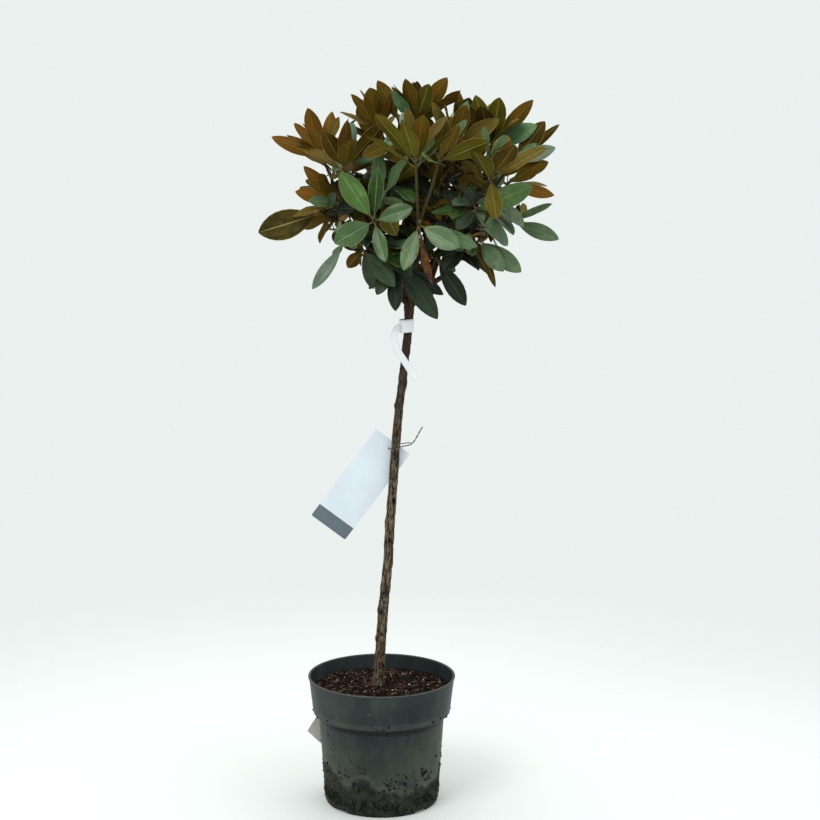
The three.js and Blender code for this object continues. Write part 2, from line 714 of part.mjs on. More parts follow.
function touches(body, others) {
  return others.some((other) => {
    if (body.middle.distanceTo(other.middle) > body.radius + other.radius) return false;
    if (body.owner !== other.owner) return !body.whole.intersect(other.whole).isEmpty();
    return body.outer !== null && other.outer !== null && !body.outer.intersect(other.outer).isEmpty();
  });
}

function insideCrown(point) {
  const away = Math.hypot(point.x - CROWN.axisX, point.y - CROWN.axisY);
  return away < CROWN.radius && point.z < CROWN.top && point.z > CROWN.bottom;
}

/** The points of a twig. It is straight where its two whorls of leaves spring from it. */
function twigPoints(curve, tip, axis) {
  const place = curve.getPoint(OLDER_WHORL.share);
  const heading = curve.getTangent(OLDER_WHORL.share);
  return [
    curve.getPoint(0),
    curve.getPoint(OLDER_WHORL.share / 3),
    place.clone().addScaledVector(heading, -LEAF.whorlDepth),
    place,
    tip.clone().addScaledVector(axis, -LEAF.whorlDepth),
    tip.clone().addScaledVector(axis, TWIG.budLength),
  ];
}

/** The twig to a shoot, bowed to one side where the straight way would meet another limb. */
function growTwig(foot, footDirection, shoot, owner, standing) {
  const tip = new THREE.Vector3(...shoot.tip);
  const axis = shootAxis(shoot);
  const side = sideOf(axis);
  for (const bow of TRIAL_BOWS) {
    const curve = limbCurve(foot, footDirection, tip, axis);
    curve.v1.addScaledVector(side, bow);
    curve.v2.addScaledVector(side, bow);
    const points = twigPoints(curve, tip, axis);
    const body = placed(taperedLimb(TWIG, points, LIMB_CLEARANCE), owner);
    if (!touches(body, standing)) return { points, curve, tip, axis, body };
  }
  return null;
}

/** Leaves that find room, each swung a little in its own plane if it has to be, and left out if none does. */
function settle(leaves, owner, standing) {
  const kept = [];
  for (const leaf of leaves) {
    for (const swing of TRIAL_SWINGS) {
      const trial = { ...leaf, along: leaf.along.clone() };
      trial.along.applyAxisAngle(leaf.face, THREE.MathUtils.degToRad(swing));
      const whole = leafSolid(trial, 0, LEAF.spacing);
      const body = placed(whole, owner, leafSolid(trial, LEAF.freeFrom, LEAF.spacing));
      if (!insideCrown(midrib(trial, 1).point) || touches(body, standing)) continue;
      kept.push(trial);
      standing.push(body);
      break;
    }
  }
  return kept;
}

const trunk = trunkSolid(0);
const aroundTrunk = trunkSolid(GAP);
const label = labelSolid();
const standing = [placed(trunkSolid(TRUNK_CLEARANCE), "trunk"), placed(label, "label")];
const boughs = [];
const stems = [];

for (const mass of MASSES) {
  let foot;
  let direction;
  if (mass.direct) {
    foot = trunkPoint(mass.height);
    direction = rising(shootsMiddle(mass).sub(foot).setZ(0).normalize(), DIRECT_STEM.leaving);
  } else {
    const curve = boughCurve(mass);
    const points = curve.getPoints(BOUGH.steps);
    const solid = largestPiece(taperedLimb(BOUGH, points).subtract(aroundTrunk));
    boughs.push({ name: `bough_${mass.name}`, solid });
    standing.push(placed(taperedLimb(BOUGH, points, LIMB_CLEARANCE), "bough"));
    direction = points.at(-1).clone().sub(points.at(-2)).normalize();
    foot = points.at(-1).clone().addScaledVector(direction, GAP);
  }
  const buried = mass.direct ? trunkRadius(mass.height) + DIRECT_STEM.extraLength : 0;
  const end = foot.clone().addScaledVector(direction, STEM.length + buried);
  const whole = limb([foot, end], () => STEM.radius, STEM.sides);
  const solid = mass.direct ? largestPiece(whole.subtract(aroundTrunk)) : whole;
  stems.push({ mass, solid, end, direction });
}
for (const { solid, mass } of stems) {
  standing.push(placed(solid, mass.name));
}

// Every twig is laid before any leaf, so that leaves find their room between the limbs.
const twigs = [];
for (const { mass, end, direction } of stems) {
  const foot = end.clone().addScaledVector(direction, -STEM.radius);
  for (const shoot of mass.shoots) {
    const twig = growTwig(foot, direction, shoot, mass.name, standing);
    if (twig) twigs.push({ ...twig, shoot, mass, index: twigs.length });
  }
  for (const twig of twigs.filter((each) => each.mass === mass)) {
    standing.push(twig.body);
  }
}
twigs.forEach((twig) => {
  twig.body.owner = `twig ${twig.index}`;
});

// The aimed leaves find their room first, then the whorls.
const foliage = new Map(MASSES.map((mass) => [mass.name, []]));
for (const { shoot, mass, tip, axis, body } of twigs) {
  const leaves = (shoot.aimed ?? []).map((each) => aimedLeaf(tip, axis, each));
  foliage.get(mass.name).push(...settle(leaves, body.owner, standing));
}
for (const twig of twigs) {
  const { shoot, mass, tip, axis, index } = twig;
  const draw = randomSource(TWIG_SEED + index * TWIG_SEED_STEP);
  const leaves = whorl(tip, axis, POSES[shoot.pose], shoot.leaves, shoot.turn, draw);
  if (shoot.older !== false && shoot.pose !== "hanging") {
    const place = twig.curve.getPoint(OLDER_WHORL.share);
    const heading = twig.curve.getTangent(OLDER_WHORL.share);
    const turn = shoot.turn + OLDER_WHORL.turn;
    leaves.push(...whorl(place, heading, POSES.older, OLDER_WHORL.leaves, turn, draw));
  }
  foliage.get(mass.name).push(...settle(leaves, twig.body.owner, standing));
}

function massSolid(name) {
  const stem = stems.find((each) => each.mass.name === name).solid;
  const own = twigs.filter((twig) => twig.mass.name === name);
  const limbs = own.map(({ points }) => taperedLimb(TWIG, points));
  const leaves = foliage.get(name).map((leaf) => leafSolid(leaf, 0, 0));
  return largestPiece(wasm.Manifold.union([stem, ...limbs, ...leaves]));
}

// ---------------------------------------------------------------- the plant

const plant = new THREE.Group();
plant.add(node("pot", potSolid(), MATERIALS.pot));
plant.add(node("potting_soil", soilSolid(), MATERIALS.soil));
plant.add(node("trunk", trunk, MATERIALS.bark));
for (const { name, solid } of boughs) {
  plant.add(node(name, solid, MATERIALS.bark));
}
for (const mass of MASSES) {
  plant.add(node(`foliage_${mass.name}`, massSolid(mass.name), MATERIALS.foliage));
}
plant.add(node("hang_card", cardSolid(), MATERIALS.card));
plant.add(node("card_wire", wireSolid(), MATERIALS.wire));
plant.add(node("stem_label", label, MATERIALS.card));
plant.add(node("pot_label", potLabelSolid(), MATERIALS.card));

export default plant;
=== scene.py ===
"""The looks of a young rhododendron trained as a standard, in its nursery pot.

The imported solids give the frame. Every visible piece is made here in mesh code: the pot and its mix, the
stem and boughs with their bark, the twigs, buds and leaves, and the card, wire and label. The plant grows by
the rule of its solids, carried on to finer twigs. Lengths are in millimetres until a mesh is made in metres.
"""

from math import atan2, cos, exp, hypot, pi, radians, sin, sqrt, tau
from types import SimpleNamespace as Record

import bpy
import numpy as np
from mathutils import Matrix, Vector, noise
from mathutils.bvhtree import BVHTree


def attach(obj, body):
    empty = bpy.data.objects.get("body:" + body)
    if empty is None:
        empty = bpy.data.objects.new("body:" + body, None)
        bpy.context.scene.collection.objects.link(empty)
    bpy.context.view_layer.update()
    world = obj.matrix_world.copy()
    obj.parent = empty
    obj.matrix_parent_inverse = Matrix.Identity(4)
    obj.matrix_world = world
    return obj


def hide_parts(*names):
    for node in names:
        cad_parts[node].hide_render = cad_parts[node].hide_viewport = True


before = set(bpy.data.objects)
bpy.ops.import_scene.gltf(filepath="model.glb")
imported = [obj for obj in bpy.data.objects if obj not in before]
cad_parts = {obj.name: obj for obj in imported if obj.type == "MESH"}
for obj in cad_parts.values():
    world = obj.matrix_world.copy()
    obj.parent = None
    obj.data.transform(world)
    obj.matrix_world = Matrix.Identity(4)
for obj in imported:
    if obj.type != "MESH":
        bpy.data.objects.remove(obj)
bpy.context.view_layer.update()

MM = 0.001
UP = Vector((0, 0, 1))

# ---------------------------------------------------------------- driving dimensions

POT = Record(
    height=235, rim_radius=134.3, lip=2.6, lip_reach=1.6, band_radius=125.2, band_foot=168, shoulder=3,
    body_top_radius=114.5, body_top=164, body_foot_radius=104.2, body_foot=6, foot_radius=101.5,
    ring_radius=89, pad_radius=60, recess=3, wall=2.2, floor=6, floor_corner=4, rounding=1.6, sides=192,
)
NOTCH = Record(count=4, first_angle=45, width=26, height=5.5, slope=4, off_pad=8)
SOIL = Record(top=216, flat_radius=38, edge=209, sides=200, rings=70)

TRUNK = Record(
    foot=214, tip=960, foot_radius=9.4, tip_radius=6.6, flare=3.2, flare_height=13,
    head=920, head_swell=2.4, head_height=30, sides=72, steps=620, bark_depth=2.0, bark_width=3.5,
    flutes=5, flute_depth=1.5, flute_height=16,
)
TRUNK_LINE = ((-7, 216), (4, 370), (11.5, 450), (15.5, 520), (29, 705), (45, 850), (51, 960))

BOUGH = Record(
    foot_radius=5.2, tip_radius=3.7, swell=2.2, reach=0.5, sag=14, leaving=(0.8, 0.6), arriving=(0.6, 0.5),
    steps=22, sides=26, bark_depth=1.1, bark_width=3.0,
)
STEM = Record(radius=3.5, length=15, collar=0.2, sides=14)
DIRECT_STEM = Record(leaving=(0.9, 0.44), extra_length=4)
TWIG = Record(foot_radius=3.1, tip_radius=2.1, bud_length=3, bud=11, steps=16, sides=10, scars=0.28)
LIMB_PULL = 0.42
LIMB_CLEARANCE = 0.4
GAP = 0.3

CROWN = Record(axis_x=48, axis_y=5, radius=272, top=1311, bottom=889)
# The finer twigs fill only the heart of the crown, so that the main whorls stand out round it.
HEART = Record(middle=Vector((56, 5, 1092)), reach=Vector((160, 205, 140)))

LEAF = Record(
    length=104, width_share=0.32, width_spread=0.07, young_shorter=0.24, fold=0.2, whorl_depth=14, roll=64,
    spacing=1.2, free_from=0.3, petiole=0.12, thickness=0.8, rib=0.9, rows=13, twist=0.5, least_wave=0.6,
    more_wave=2.0, waves=1.6, wave_lag=0.3, twist_from=0.3, tip_taper=0.8, foot=0.45,
)
JITTER = Record(angle=24, lean=14, bend=24, length=0.24)
GOLDEN_ANGLE = 137.508
RANDOM = Record(states=2**32, factor=1664525, step=1013904223, discarded=3)
TINT_SEEDS = Record(aimed=77, whorls=4177, sides=9041)
TWIG_SEED = 1000
TWIG_SEED_STEP = 7919
AIMED_BEND = 0.12
LEAST_BEND = 0.01
OLDER_WHORL = Record(share=0.62, leaves=3, turn=90)
TRIAL_SWINGS = (0, 16, -16, 32, -32, 48)
TRIAL_BOWS = (0, 14, -14, 28, -28, 42, -42)

# A shoot's rise over the level, its leaves' angles from it, youngest to oldest, and their bend, in degrees.
POSES = {
    "upright": Record(rise=76, inner=12, outer=56, bend=8),
    "open": Record(rise=34, inner=48, outer=84, bend=16),
    "hanging": Record(rise=62, inner=88, outer=140, bend=16),
    "older": Record(rise=0, inner=66, outer=112, bend=20),
    "side": Record(rise=0, inner=30, outer=92, bend=18),
}


def shoot(
    x, y, z, pose, leaves, turn, tone, rise=None, older=True, older_tone="inner", wood="twig_bark", aimed=(),
):
    """A shoot by the place of its tip. Its tones name the mixes of leaf colours of its two whorls.

    Its aimed leaves are long ones that reach out to places of their own. Each is the place of its tip, its
    width, the roll of its face about its length, and a mix of its own where it doesn't share the shoot's.
    """
    return Record(
        tip=Vector((x, y, z)), pose=pose, leaves=leaves, turn=turn, tone=tone, rise=rise, older=older,
        older_tone=older_tone, wood=wood, aimed=aimed,
    )


# Each mass of foliage: the height at which its bough leaves the stem, and its shoots.
MASSES = {
    "left": (932, (
        shoot(-103, 20, 1172, "upright", 7, 180, "ginger", aimed=(
            (-193, 4, 1208, 24, 70), (-129, -12, 1258, 29, 10), (-152, 26, 1232, 24, 60),
            (-88, 34, 1250, 24, -105),
        )),
        shoot(-76, -30, 1098, "upright", 5, 90, "ginger", rise=35, aimed=(
            (-150, -34, 1113, 26, 110), (-136, -40, 1156, 24, -110), (-125, -56, 1098, 20, -105, "slate"),
        )),
        shoot(-107, -20, 1080, "open", 0, 100, "old", rise=40, aimed=(
            (-215, -30, 1041, 52, -85, "ribbed"),
        )),
    )),
    "front_left": (912, (
        shoot(-64, -60, 1158, "upright", 5, 200, "young", aimed=(
            (-98, -90, 1217, 30, 50), (-60, -105, 1237, 28), (-17, -95, 1247, 34, -50),
        )),
        shoot(-12, -165, 1072, "open", 0, 45, "fresh", older=False, aimed=(
            (-74, -195, 1034, 40, -30, "grass"), (-67, -175, 1148, 38, -20, "lime"),
            (-5, -160, 1158, 26, 10, "moss"), (53, -180, 1092, 30, 20, "grass"),
            (8, -195, 1003, 25, 10, "grass"),
        )),
        shoot(-2, -60, 1105, "open", 6, 135, "mid"),
        shoot(-66, -66, 1030, "hanging", 0, 200, "old", aimed=(
            (-118, -92, 949, 22, -60, "silver"), (-86, -50, 1000, 14, -60, "slate"),
        )),
        shoot(-34, -72, 1022, "hanging", 0, 0, "old", aimed=(
            (24, -98, 955, 34, 0, "shade"), (-58, -84, 984, 22, 120, "dark_felt"),
            (-14, -84, 948, 22),
        )),
    )),
    "front": (934, (
        shoot(60, -150, 1168, "upright", 8, 45, "young", older=False, wood="twig_green", aimed=(
            (-6, -165, 1248, 32, 60), (69, -185, 1246, 34, -10),
        )),
        shoot(96, -135, 1172, "upright", 5, 200, "young", older=False, wood="twig_green", aimed=(
            (181, -150, 1202, 31, -80), (130, -160, 1229, 24, -50),
        )),
        shoot(65, -165, 1066, "open", 0, 225, "mid", older=False, aimed=(
            (39, -195, 990, 28, 0, "slate"), (131, -190, 1027, 36, 30, "slate"),
            (162, -172, 1026, 26, 40, "slate"), (84, -150, 957, 16, 60, "dry"),
        )),
    )),
    "front_right": (910, (
        shoot(187, -110, 1146, "upright", 8, 180, "young", older_tone="dim", aimed=(
            (195, -122, 1070, 29, 60, "yellow"),
        )),
        shoot(121, -50, 1188, "upright", 7, 45, "young"),
        shoot(158, -85, 1084, "open", 0, 10, "mid", aimed=((263, -60, 1124, 38, 25, "lime"),)),
    )),
    "right": (926, (
        shoot(237, 20, 1062, "open", 0, 0, "mid", rise=20, older_tone="dim", aimed=(
            (296, -14, 1093, 14, 170, "slate"), (310, -14, 1031, 28, 110, "slate"),
            (244, -6, 1092, 14, 0, "ribbed"), (262, 70, 1086, 26, 0),
        )),
        shoot(224, -10, 1130, "upright", 3, 315, "young", rise=50, older_tone="dim", aimed=(
            (279, -34, 1165, 28, -65), (302, 0, 1106, 22, -100, "amber"),
        )),
        shoot(232, -24, 1168, "upright", 0, 0, "young", rise=50, older_tone="dim", aimed=(
            (283, -20, 1234, 32, 165, "ribbed"), (309, 4, 1228, 16, -155, "ribbed"),
            (299, -46, 1190, 26, 90, "silver"), (266, -50, 1196, 16, 155, "sage"),
        )),
        shoot(172, -48, 1038, "hanging", 0, 0, "mid", aimed=(
            (243, -55, 975, 32, 80, "slate"), (210, -78, 979, 30, 75, "slate"),
            (198, -70, 949, 13, -115, "dark_felt"),
        )),
    )),
    "top_right": (943, (
        shoot(192, 20, 1194, "upright", 8, 270, "young", aimed=(
            (263, 4, 1273, 27, -60), (128, -20, 1271, 40, 50), (205, -14, 1277, 34, 5),
            (164, 34, 1279, 32, 100), (264, -46, 1228, 32, 100, "sage"),
        )),
        shoot(138, 115, 1202, "upright", 9, 10, "young"),
        shoot(210, 105, 1138, "upright", 8, 35, "young"),
    )),
    "top": (960, (
        shoot(61, 0, 1236, "upright", 8, 225, "young", aimed=(
            (113, -14, 1310, 30, -70), (43, -32, 1308, 26, 30), (82, -28, 1299, 30, -15),
            (20, -80, 1281, 19, -120, "sage"),
        )),
        shoot(30, -34, 1236, "upright", 0, 225, "young", aimed=(
            (-5, -40, 1304, 30, 85),
        )),
        shoot(-2, -20, 1224, "upright", 7, 135, "young", aimed=(
            (-51, -28, 1281, 18, 70), (-20, -50, 1292, 36, 5),
        )),
        shoot(58, 85, 1230, "upright", 9, 70, "young"),
    )),
    "back_left": (914, (
        shoot(-82, 105, 1148, "upright", 8, 15, "ginger"),
        shoot(-17, 130, 1192, "upright", 9, 0, "young"),
        shoot(-72, 115, 1080, "open", 8, 45, "mid"),
    )),
    "back": (934, (
        shoot(68, 185, 1162, "upright", 9, 0, "young"),
        shoot(23, 190, 1095, "open", 8, 30, "fresh"),
    )),
    "back_right": (911, (
        shoot(128, 180, 1110, "open", 8, 0, "fresh"),
        shoot(188, 120, 1070, "open", 8, 30, "mid"),
        shoot(112, 90, 1062, "open", 7, 60, "old"),
    )),
    "skirt_front": (896, (
        shoot(24, -64, 1000, "hanging", 0, 90, "old", aimed=(
            (24, -94, 912, 28), (-8, -90, 940, 26, -20), (98, -96, 899, 36, 20),
            (108, -62, 935, 24, 60), (-24, -52, 946, 20, -30),
        )),
        shoot(96, -62, 1006, "hanging", 0, 135, "old", aimed=(
            (147, -75, 919, 31, 50), (128, -40, 972, 24, 120, "dark_felt"),
        )),
    )),
    "skirt_back": (898, (
        shoot(24, 60, 1040, "hanging", 7, 20, "old"),
        shoot(86, 78, 1004, "hanging", 7, 0, "old"),
    )),
}
DIRECT_MASSES = ("skirt_front", "skirt_back")

# Finer twigs: they leave each shoot's twig at these shares of its length, and each ends in a small whorl.
SIDE_TWIG = Record(
    shares=(0.3, 0.46, 0.66, 0.8), lengths=(44, 34, 26), angle=52, foot_radius=1.9, tip_radius=1.4,
    leaves=6, leaf_length=78, fewest_leaves=2, seed=52000, attempts=5, stray=40, arriving=(0.8, 0.35),
    shaded_below=1130, turn=0.4, bud=7, sides=8,
)

# The mixes of leaf colours: share, upper face, lower face.
TONES = {
    "young": ((0.30, "sage", "felt"), (0.22, "olive", "felt"), (0.16, "green", "felt_dark"),
              (0.22, "olive", "felt_olive"), (0.10, "olive", "felt_red")),
    "ginger": ((0.34, "olive", "felt_orange"), (0.24, "sage", "felt_orange"), (0.22, "olive", "felt"),
               (0.20, "green", "felt")),
    "fresh": ((0.40, "fresh", "felt_olive"), (0.36, "green", "felt"), (0.24, "grey_green", "felt")),
    "lime": ((1.0, "fresh", "felt_olive"),),
    "mid": ((0.40, "green", "felt"), (0.34, "grey_green", "felt_olive"), (0.14, "dark", "felt_orange"),
            (0.12, "yellow", "felt_orange")),
    "old": ((0.46, "dark", "felt_dark"), (0.34, "deep", "felt_dark"), (0.16, "grey_green", "felt"),
            (0.04, "dead", "dead")),
    "inner": ((0.30, "deep", "felt_dark"), (0.34, "dark", "felt_dark"), (0.24, "green", "felt"),
              (0.12, "grey_green", "felt")),
    "dim": ((0.5, "grey_green", "felt"), (0.3, "shade", "felt_dark"), (0.2, "green", "felt")),
    "grass": ((1.0, "green", "felt_olive"),),
    "moss": ((1.0, "moss", "felt_olive"),),
    "slate": ((1.0, "grey_green", "felt_olive"),),
    "shade": ((1.0, "shade", "felt_dark"),),
    "sage": ((1.0, "sage", "felt"),),
    "amber": ((1.0, "umber", "felt_orange"),),
    "ribbed": ((1.0, "umber", "felt_dark"),),
    "dark_felt": ((1.0, "dark", "felt_dark"),),
    "silver": ((1.0, "silver", "felt_olive"),),
    "yellow": ((1.0, "yellow", "felt_orange"),),
    "dry": ((1.0, "dead", "dead"),),
}

CARD = Record(
    length=197, width=76, thickness=1, corner=3, hole_inset=12, tilt=53.3, left=-9.8, front=9.6,
    top=688, band=26, columns=24, spacing=7, bow=0.72, half_sheet=0.35,
)
WIRE = Record(strand=0.62, apart=0.9, turns=7, steps=110, twisted_steps=46, sides=8)
WIRE_LINE = (
    (73, -10, 695), (69, -10, 689), (55, -10, 666), (40, -12, 661), (25, -12.4, 658), (15, -9, 655.5),
    (12.7, 0, 654.4), (12.7, 10.1, 654.2), (15, 15, 655), (28, 15, 659), (43, 9, 663), (52, -3, 665.5),
)
LABEL = Record(
    radius=12.4, gap=0.5, thickness=0.5, height=23, middle=876, offset=-3, slant=1.2, tail_width=12.5,
    cup=0.9, steps=48,
)
# The blank label stuck up on the back of the pot: its bearing, its turn, and how far along the wall it sits.
POT_LABEL = Record(
    length=92, width=40, thickness=1, corner=2.5, bearing=130, turn=45, along=40.3, height=98.6,
)
LABEL_TAIL = (
    (32, -7, 879), (23, -12, 862), (26, -14, 838), (40, -14.5, 815), (56, -14.5, 790), (62, -14.5, 780),
)

# ---------------------------------------------------------------- camera

CAMERA = Record(place=(0.0505, -3.162, 1.215), pitch=8.82, roll=0.15, focal_pixels=1791, image_pixels=820)
SENSOR_WIDTH = 36.0


def make_camera():
    """A camera at the photograph's place, looking along +Y and a little down."""
    data = bpy.data.cameras.new("camera")
    data.sensor_width = SENSOR_WIDTH
    data.lens = SENSOR_WIDTH * CAMERA.focal_pixels / CAMERA.image_pixels
    camera = bpy.data.objects.new("camera", data)
    bpy.context.scene.collection.objects.link(camera)
    pitch = radians(CAMERA.pitch)
    ahead = Vector((0, cos(pitch), -sin(pitch)))
    above = Vector((0, sin(pitch), cos(pitch)))
    turn = Matrix((Vector((1, 0, 0)), above, -ahead)).transposed().to_4x4()
    roll = Matrix.Rotation(radians(CAMERA.roll), 4, "Z")
    camera.matrix_world = Matrix.Translation(Vector(CAMERA.place)) @ turn @ roll
    bpy.context.scene.camera = camera


make_camera()

# ---------------------------------------------------------------- materials


def linear(*color):
    """A display colour of 0 to 255 as a linear one."""
    def one(value):
        value = value / 255
        return value / 12.92 if value <= 0.04045 else ((value + 0.055) / 1.055) ** 2.4
    return (*map(one, color), 1.0)


def paler(color, more):
    """The linear colour of a display colour raised by some steps."""
    return linear(*(min(255, value + more) for value in color))


def toned(color, factor, warmth=1.0):
    """A linear colour made lighter or darker, and warmer or cooler."""
    return [color[0] * factor * warmth, color[1] * factor, color[2] * factor / warmth, 1]


class Value:
    """A number or colour that comes out of a shader node. Sums with it become math nodes."""

    def __init__(self, finish, socket):
        self.finish = finish
        self.socket = socket

    def math(self, operation, other=0.0):
        return self.finish.value("Math", {0: self, 1: other}, operation=operation)

    def __add__(self, other):
        return self.math("ADD", other)

    def __sub__(self, other):
        return self.math("SUBTRACT", other)

    def __mul__(self, other):
        return self.math("MULTIPLY", other)

    def __abs__(self):
        return self.math("ABSOLUTE")


class Finish:
    """A material under construction, with short calls for the nodes that it is made of."""

    def __init__(self, name, roughness, gloss=0.25, **sockets):
        self.material = bpy.data.materials.new(name)
        self.material.use_nodes = True
        self.tree = self.material.node_tree
        self.shader = self.tree.nodes["Principled BSDF"]
        for socket, value in {"Roughness": roughness, "Specular IOR Level": gloss, **sockets}.items():
            self.shader.inputs[socket.replace("_", " ")].default_value = value

    def value(self, kind, inputs, output=0, **settings):
        """A new node of a kind, and what comes out of it."""
        node = self.tree.nodes.new("ShaderNode" + kind)
        for setting, choice in settings.items():
            setattr(node, setting, choice)
        for socket, given in inputs.items():
            self.feed(node.inputs[socket], given)
        return Value(self, node.outputs[output])

    def feed(self, socket, given):
        if isinstance(given, Value):
            self.tree.links.new(given.socket, socket)
        else:
            socket.default_value = given

    def place(self, stretch=(1, 1, 1)):
        """Place on the object, in metres, stretched along its axes."""
        return self.value("Mapping", {"Vector": self.value("TexCoord", {}, "Object"), "Scale": stretch})

    def coordinates(self, place, *axes):
        return [self.value("SeparateXYZ", {0: place}, axis) for axis in axes]

    def noise(self, scale, detail=4.0, stretch=(1, 1, 1), rough=0.5):
        inputs = {"Vector": self.place(stretch), "Scale": scale, "Detail": detail, "Roughness": rough}
        return self.value("TexNoise", inputs, "Fac")

    def between(self, value, low, high, start=0.0, end=1.0):
        inputs = {"Value": value, "From Min": low, "From Max": high, "To Min": start, "To Max": end}
        return self.value("MapRange", inputs, interpolation_type="SMOOTHSTEP")

    def patches(self, scale, low, high, most=1.0, **noise):
        """Soft-edged patches of a noise pattern, from none below one level to the most above the other."""
        return self.between(self.noise(scale, **noise), low, high, 0, most)

    def mix(self, share, first, second):
        return self.value("Mix", {0: share, 6: first, 7: second}, 2, data_type="RGBA")

    def layers(self, color, *layers):
        """A colour under layers of others, each given as its share and its colour."""
        for share, tint in layers:
            color = self.mix(share, color, tint)
        return color

    def bump(self, height, distance, strength=1.0, before=None):
        inputs = {"Height": height, "Distance": distance, "Strength": strength}
        if before is not None:
            inputs["Normal"] = before
        return self.value("Bump", inputs)

    def done(self, color=None, normal=None, roughness=None):
        for socket, given in (("Base Color", color), ("Normal", normal), ("Roughness", roughness)):
            if given is not None:
                self.feed(self.shader.inputs[socket], given)
        return self.material


# Upper faces of the leaves: display colour, a lighter colour painted over it in patches as a sheen,
# roughness, gloss, and the colours of the midrib and of the thin edge.
LEAF_COLORS = {
    "olive": ((96, 76, 14), (80, 94, 26), 0.66, 0.12, "rib_olive", "margin"),
    "umber": ((56, 47, 10), (94, 80, 26), 0.62, 0.12, "rib_pale", "margin"),
    "sage": ((86, 124, 82), (130, 160, 118), 0.38, 0.42, "rib_green", "margin_green"),
    "fresh": ((66, 102, 28), (100, 138, 58), 0.36, 0.42, "rib_green", "margin_green"),
    "green": ((54, 86, 36), (84, 114, 56), 0.34, 0.42, "rib_green", "margin_green"),
    "moss": ((38, 62, 12), (70, 102, 30), 0.40, 0.18, "rib_green", "margin_green"),
    "grey_green": ((78, 104, 66), (110, 136, 96), 0.36, 0.42, "rib_green", "margin_green"),
    "shade": ((64, 84, 60), (90, 112, 88), 0.42, 0.20, "rib_dark", "margin_dark"),
    "dark": ((34, 50, 28), (58, 76, 50), 0.40, 0.22, "rib_dark", "margin_dark"),
    "deep": ((22, 33, 18), (42, 56, 38), 0.44, 0.18, "rib_dark", "margin_dark"),
    "yellow": ((92, 82, 6), (114, 94, 20), 0.55, 0.14, "rib_pale", "margin"),
    "silver": ((102, 117, 100), (128, 141, 122), 0.50, 0.24, "rib_green", "margin_green"),
}
# Lower faces of the leaves: the felt's colour, the greener one that glimmers through, and the midrib's.
FELT_COLORS = {
    "felt": ((106, 76, 18), (92, 90, 26), "rib_olive"),
    "felt_dark": ((76, 56, 14), (74, 70, 22), "rib_olive"),
    "felt_olive": ((92, 80, 16), (84, 92, 30), "rib_pale"),
    "felt_orange": ((128, 86, 28), (110, 86, 30), "rib_olive"),
    "felt_red": ((100, 66, 22), (96, 76, 22), "rib_olive"),
}
# The pale margin colours are partly the edge's own colour and partly a painted highlight along it.
TRIM_COLORS = {
    "rib_pale": (140, 132, 74), "rib_olive": (120, 100, 44), "rib_green": (108, 134, 84),
    "rib_dark": (54, 70, 52),
    "margin": (146, 124, 64), "margin_green": (104, 128, 80), "margin_dark": (46, 62, 46),
}
# The colours of the midrib and of the edge on each colour of blade.
TRIMS = {name: values[-2:] for name, values in LEAF_COLORS.items()}
TRIMS.update({name: (values[-1], "margin") for name, values in FELT_COLORS.items()})
TRIMS["dead"] = ("dead", "dead")
VEINS = Record(pairs=11, slant=3.2, depth=0.0002)


def blade_place(finish):
    """Shares along and across a blade."""
    return finish.coordinates(finish.value("TexCoord", {}, "UV"), 0, 1)


def leaf_veins(finish):
    """Height of the side veins over the blade: they leave the midrib in pairs and lean towards the tip."""
    along, across = blade_place(finish)
    pairs = along * VEINS.pairs - abs(across - 0.5) * VEINS.slant
    return finish.between((pairs * tau).math("SINE"), 0.35, 1.0)


def leaf_streaks(finish):
    """Soft streaks along a blade, which fall otherwise on each leaf."""
    along, across = blade_place(finish)
    place = finish.value("CombineXYZ", {0: along * 3.0, 1: across * 9.0, 2: finish.noise(9, 0.0) * 40})
    pattern = {"Vector": place, "Scale": 1.0, "Detail": 5.0, "Roughness": 0.62}
    return finish.between(finish.value("TexNoise", pattern, "Fac"), 0.36, 0.64)


def blade_edge(finish):
    """From 0 over most of the blade to 1 at its edge."""
    return finish.between(abs(blade_place(finish)[1] - 0.5), 0.30, 0.49)


def blade_shades(finish, base, glimmer):
    """A blade's colour: a little different on each leaf, streaked, and with the second colour in patches,
    which is a painted sheen on an upper face and a greener tint on the felt.
    """
    leaf_to_leaf = finish.patches(11, 0.32, 0.68, detail=1.0)
    return finish.layers(
        finish.mix(leaf_to_leaf, toned(base, 0.78, 0.94), toned(base, 1.16, 1.06)),
        # Patches of the second colour: a painted sheen on upper faces, a greener tint on the felt.
        (finish.patches(34, 0.44, 0.70, 0.62, detail=3.0, rough=0.6), glimmer),
        (leaf_streaks(finish) * 0.6, toned(base, 0.58)),
    )


def leaf_material(name, color, glimmer, roughness, gloss):
    """The upper face of a blade: waxy, streaked, painted darker to the edge as shade, with faint side veins.
    """
    finish = Finish(f"leaf_{name}", roughness, gloss)
    veins = leaf_veins(finish)
    base = linear(*color)
    shade = finish.layers(
        blade_shades(finish, base, linear(*glimmer)),
        # Painted shade towards the edge.
        (blade_edge(finish) * 0.4, toned(base, 0.6)),
        (veins * 0.06, paler(color, 50)),
    )
    dents = finish.bump(finish.noise(55, 3.0), 0.0016, 0.6)
    return finish.done(shade, finish.bump(veins, -VEINS.depth, 0.8, dents))


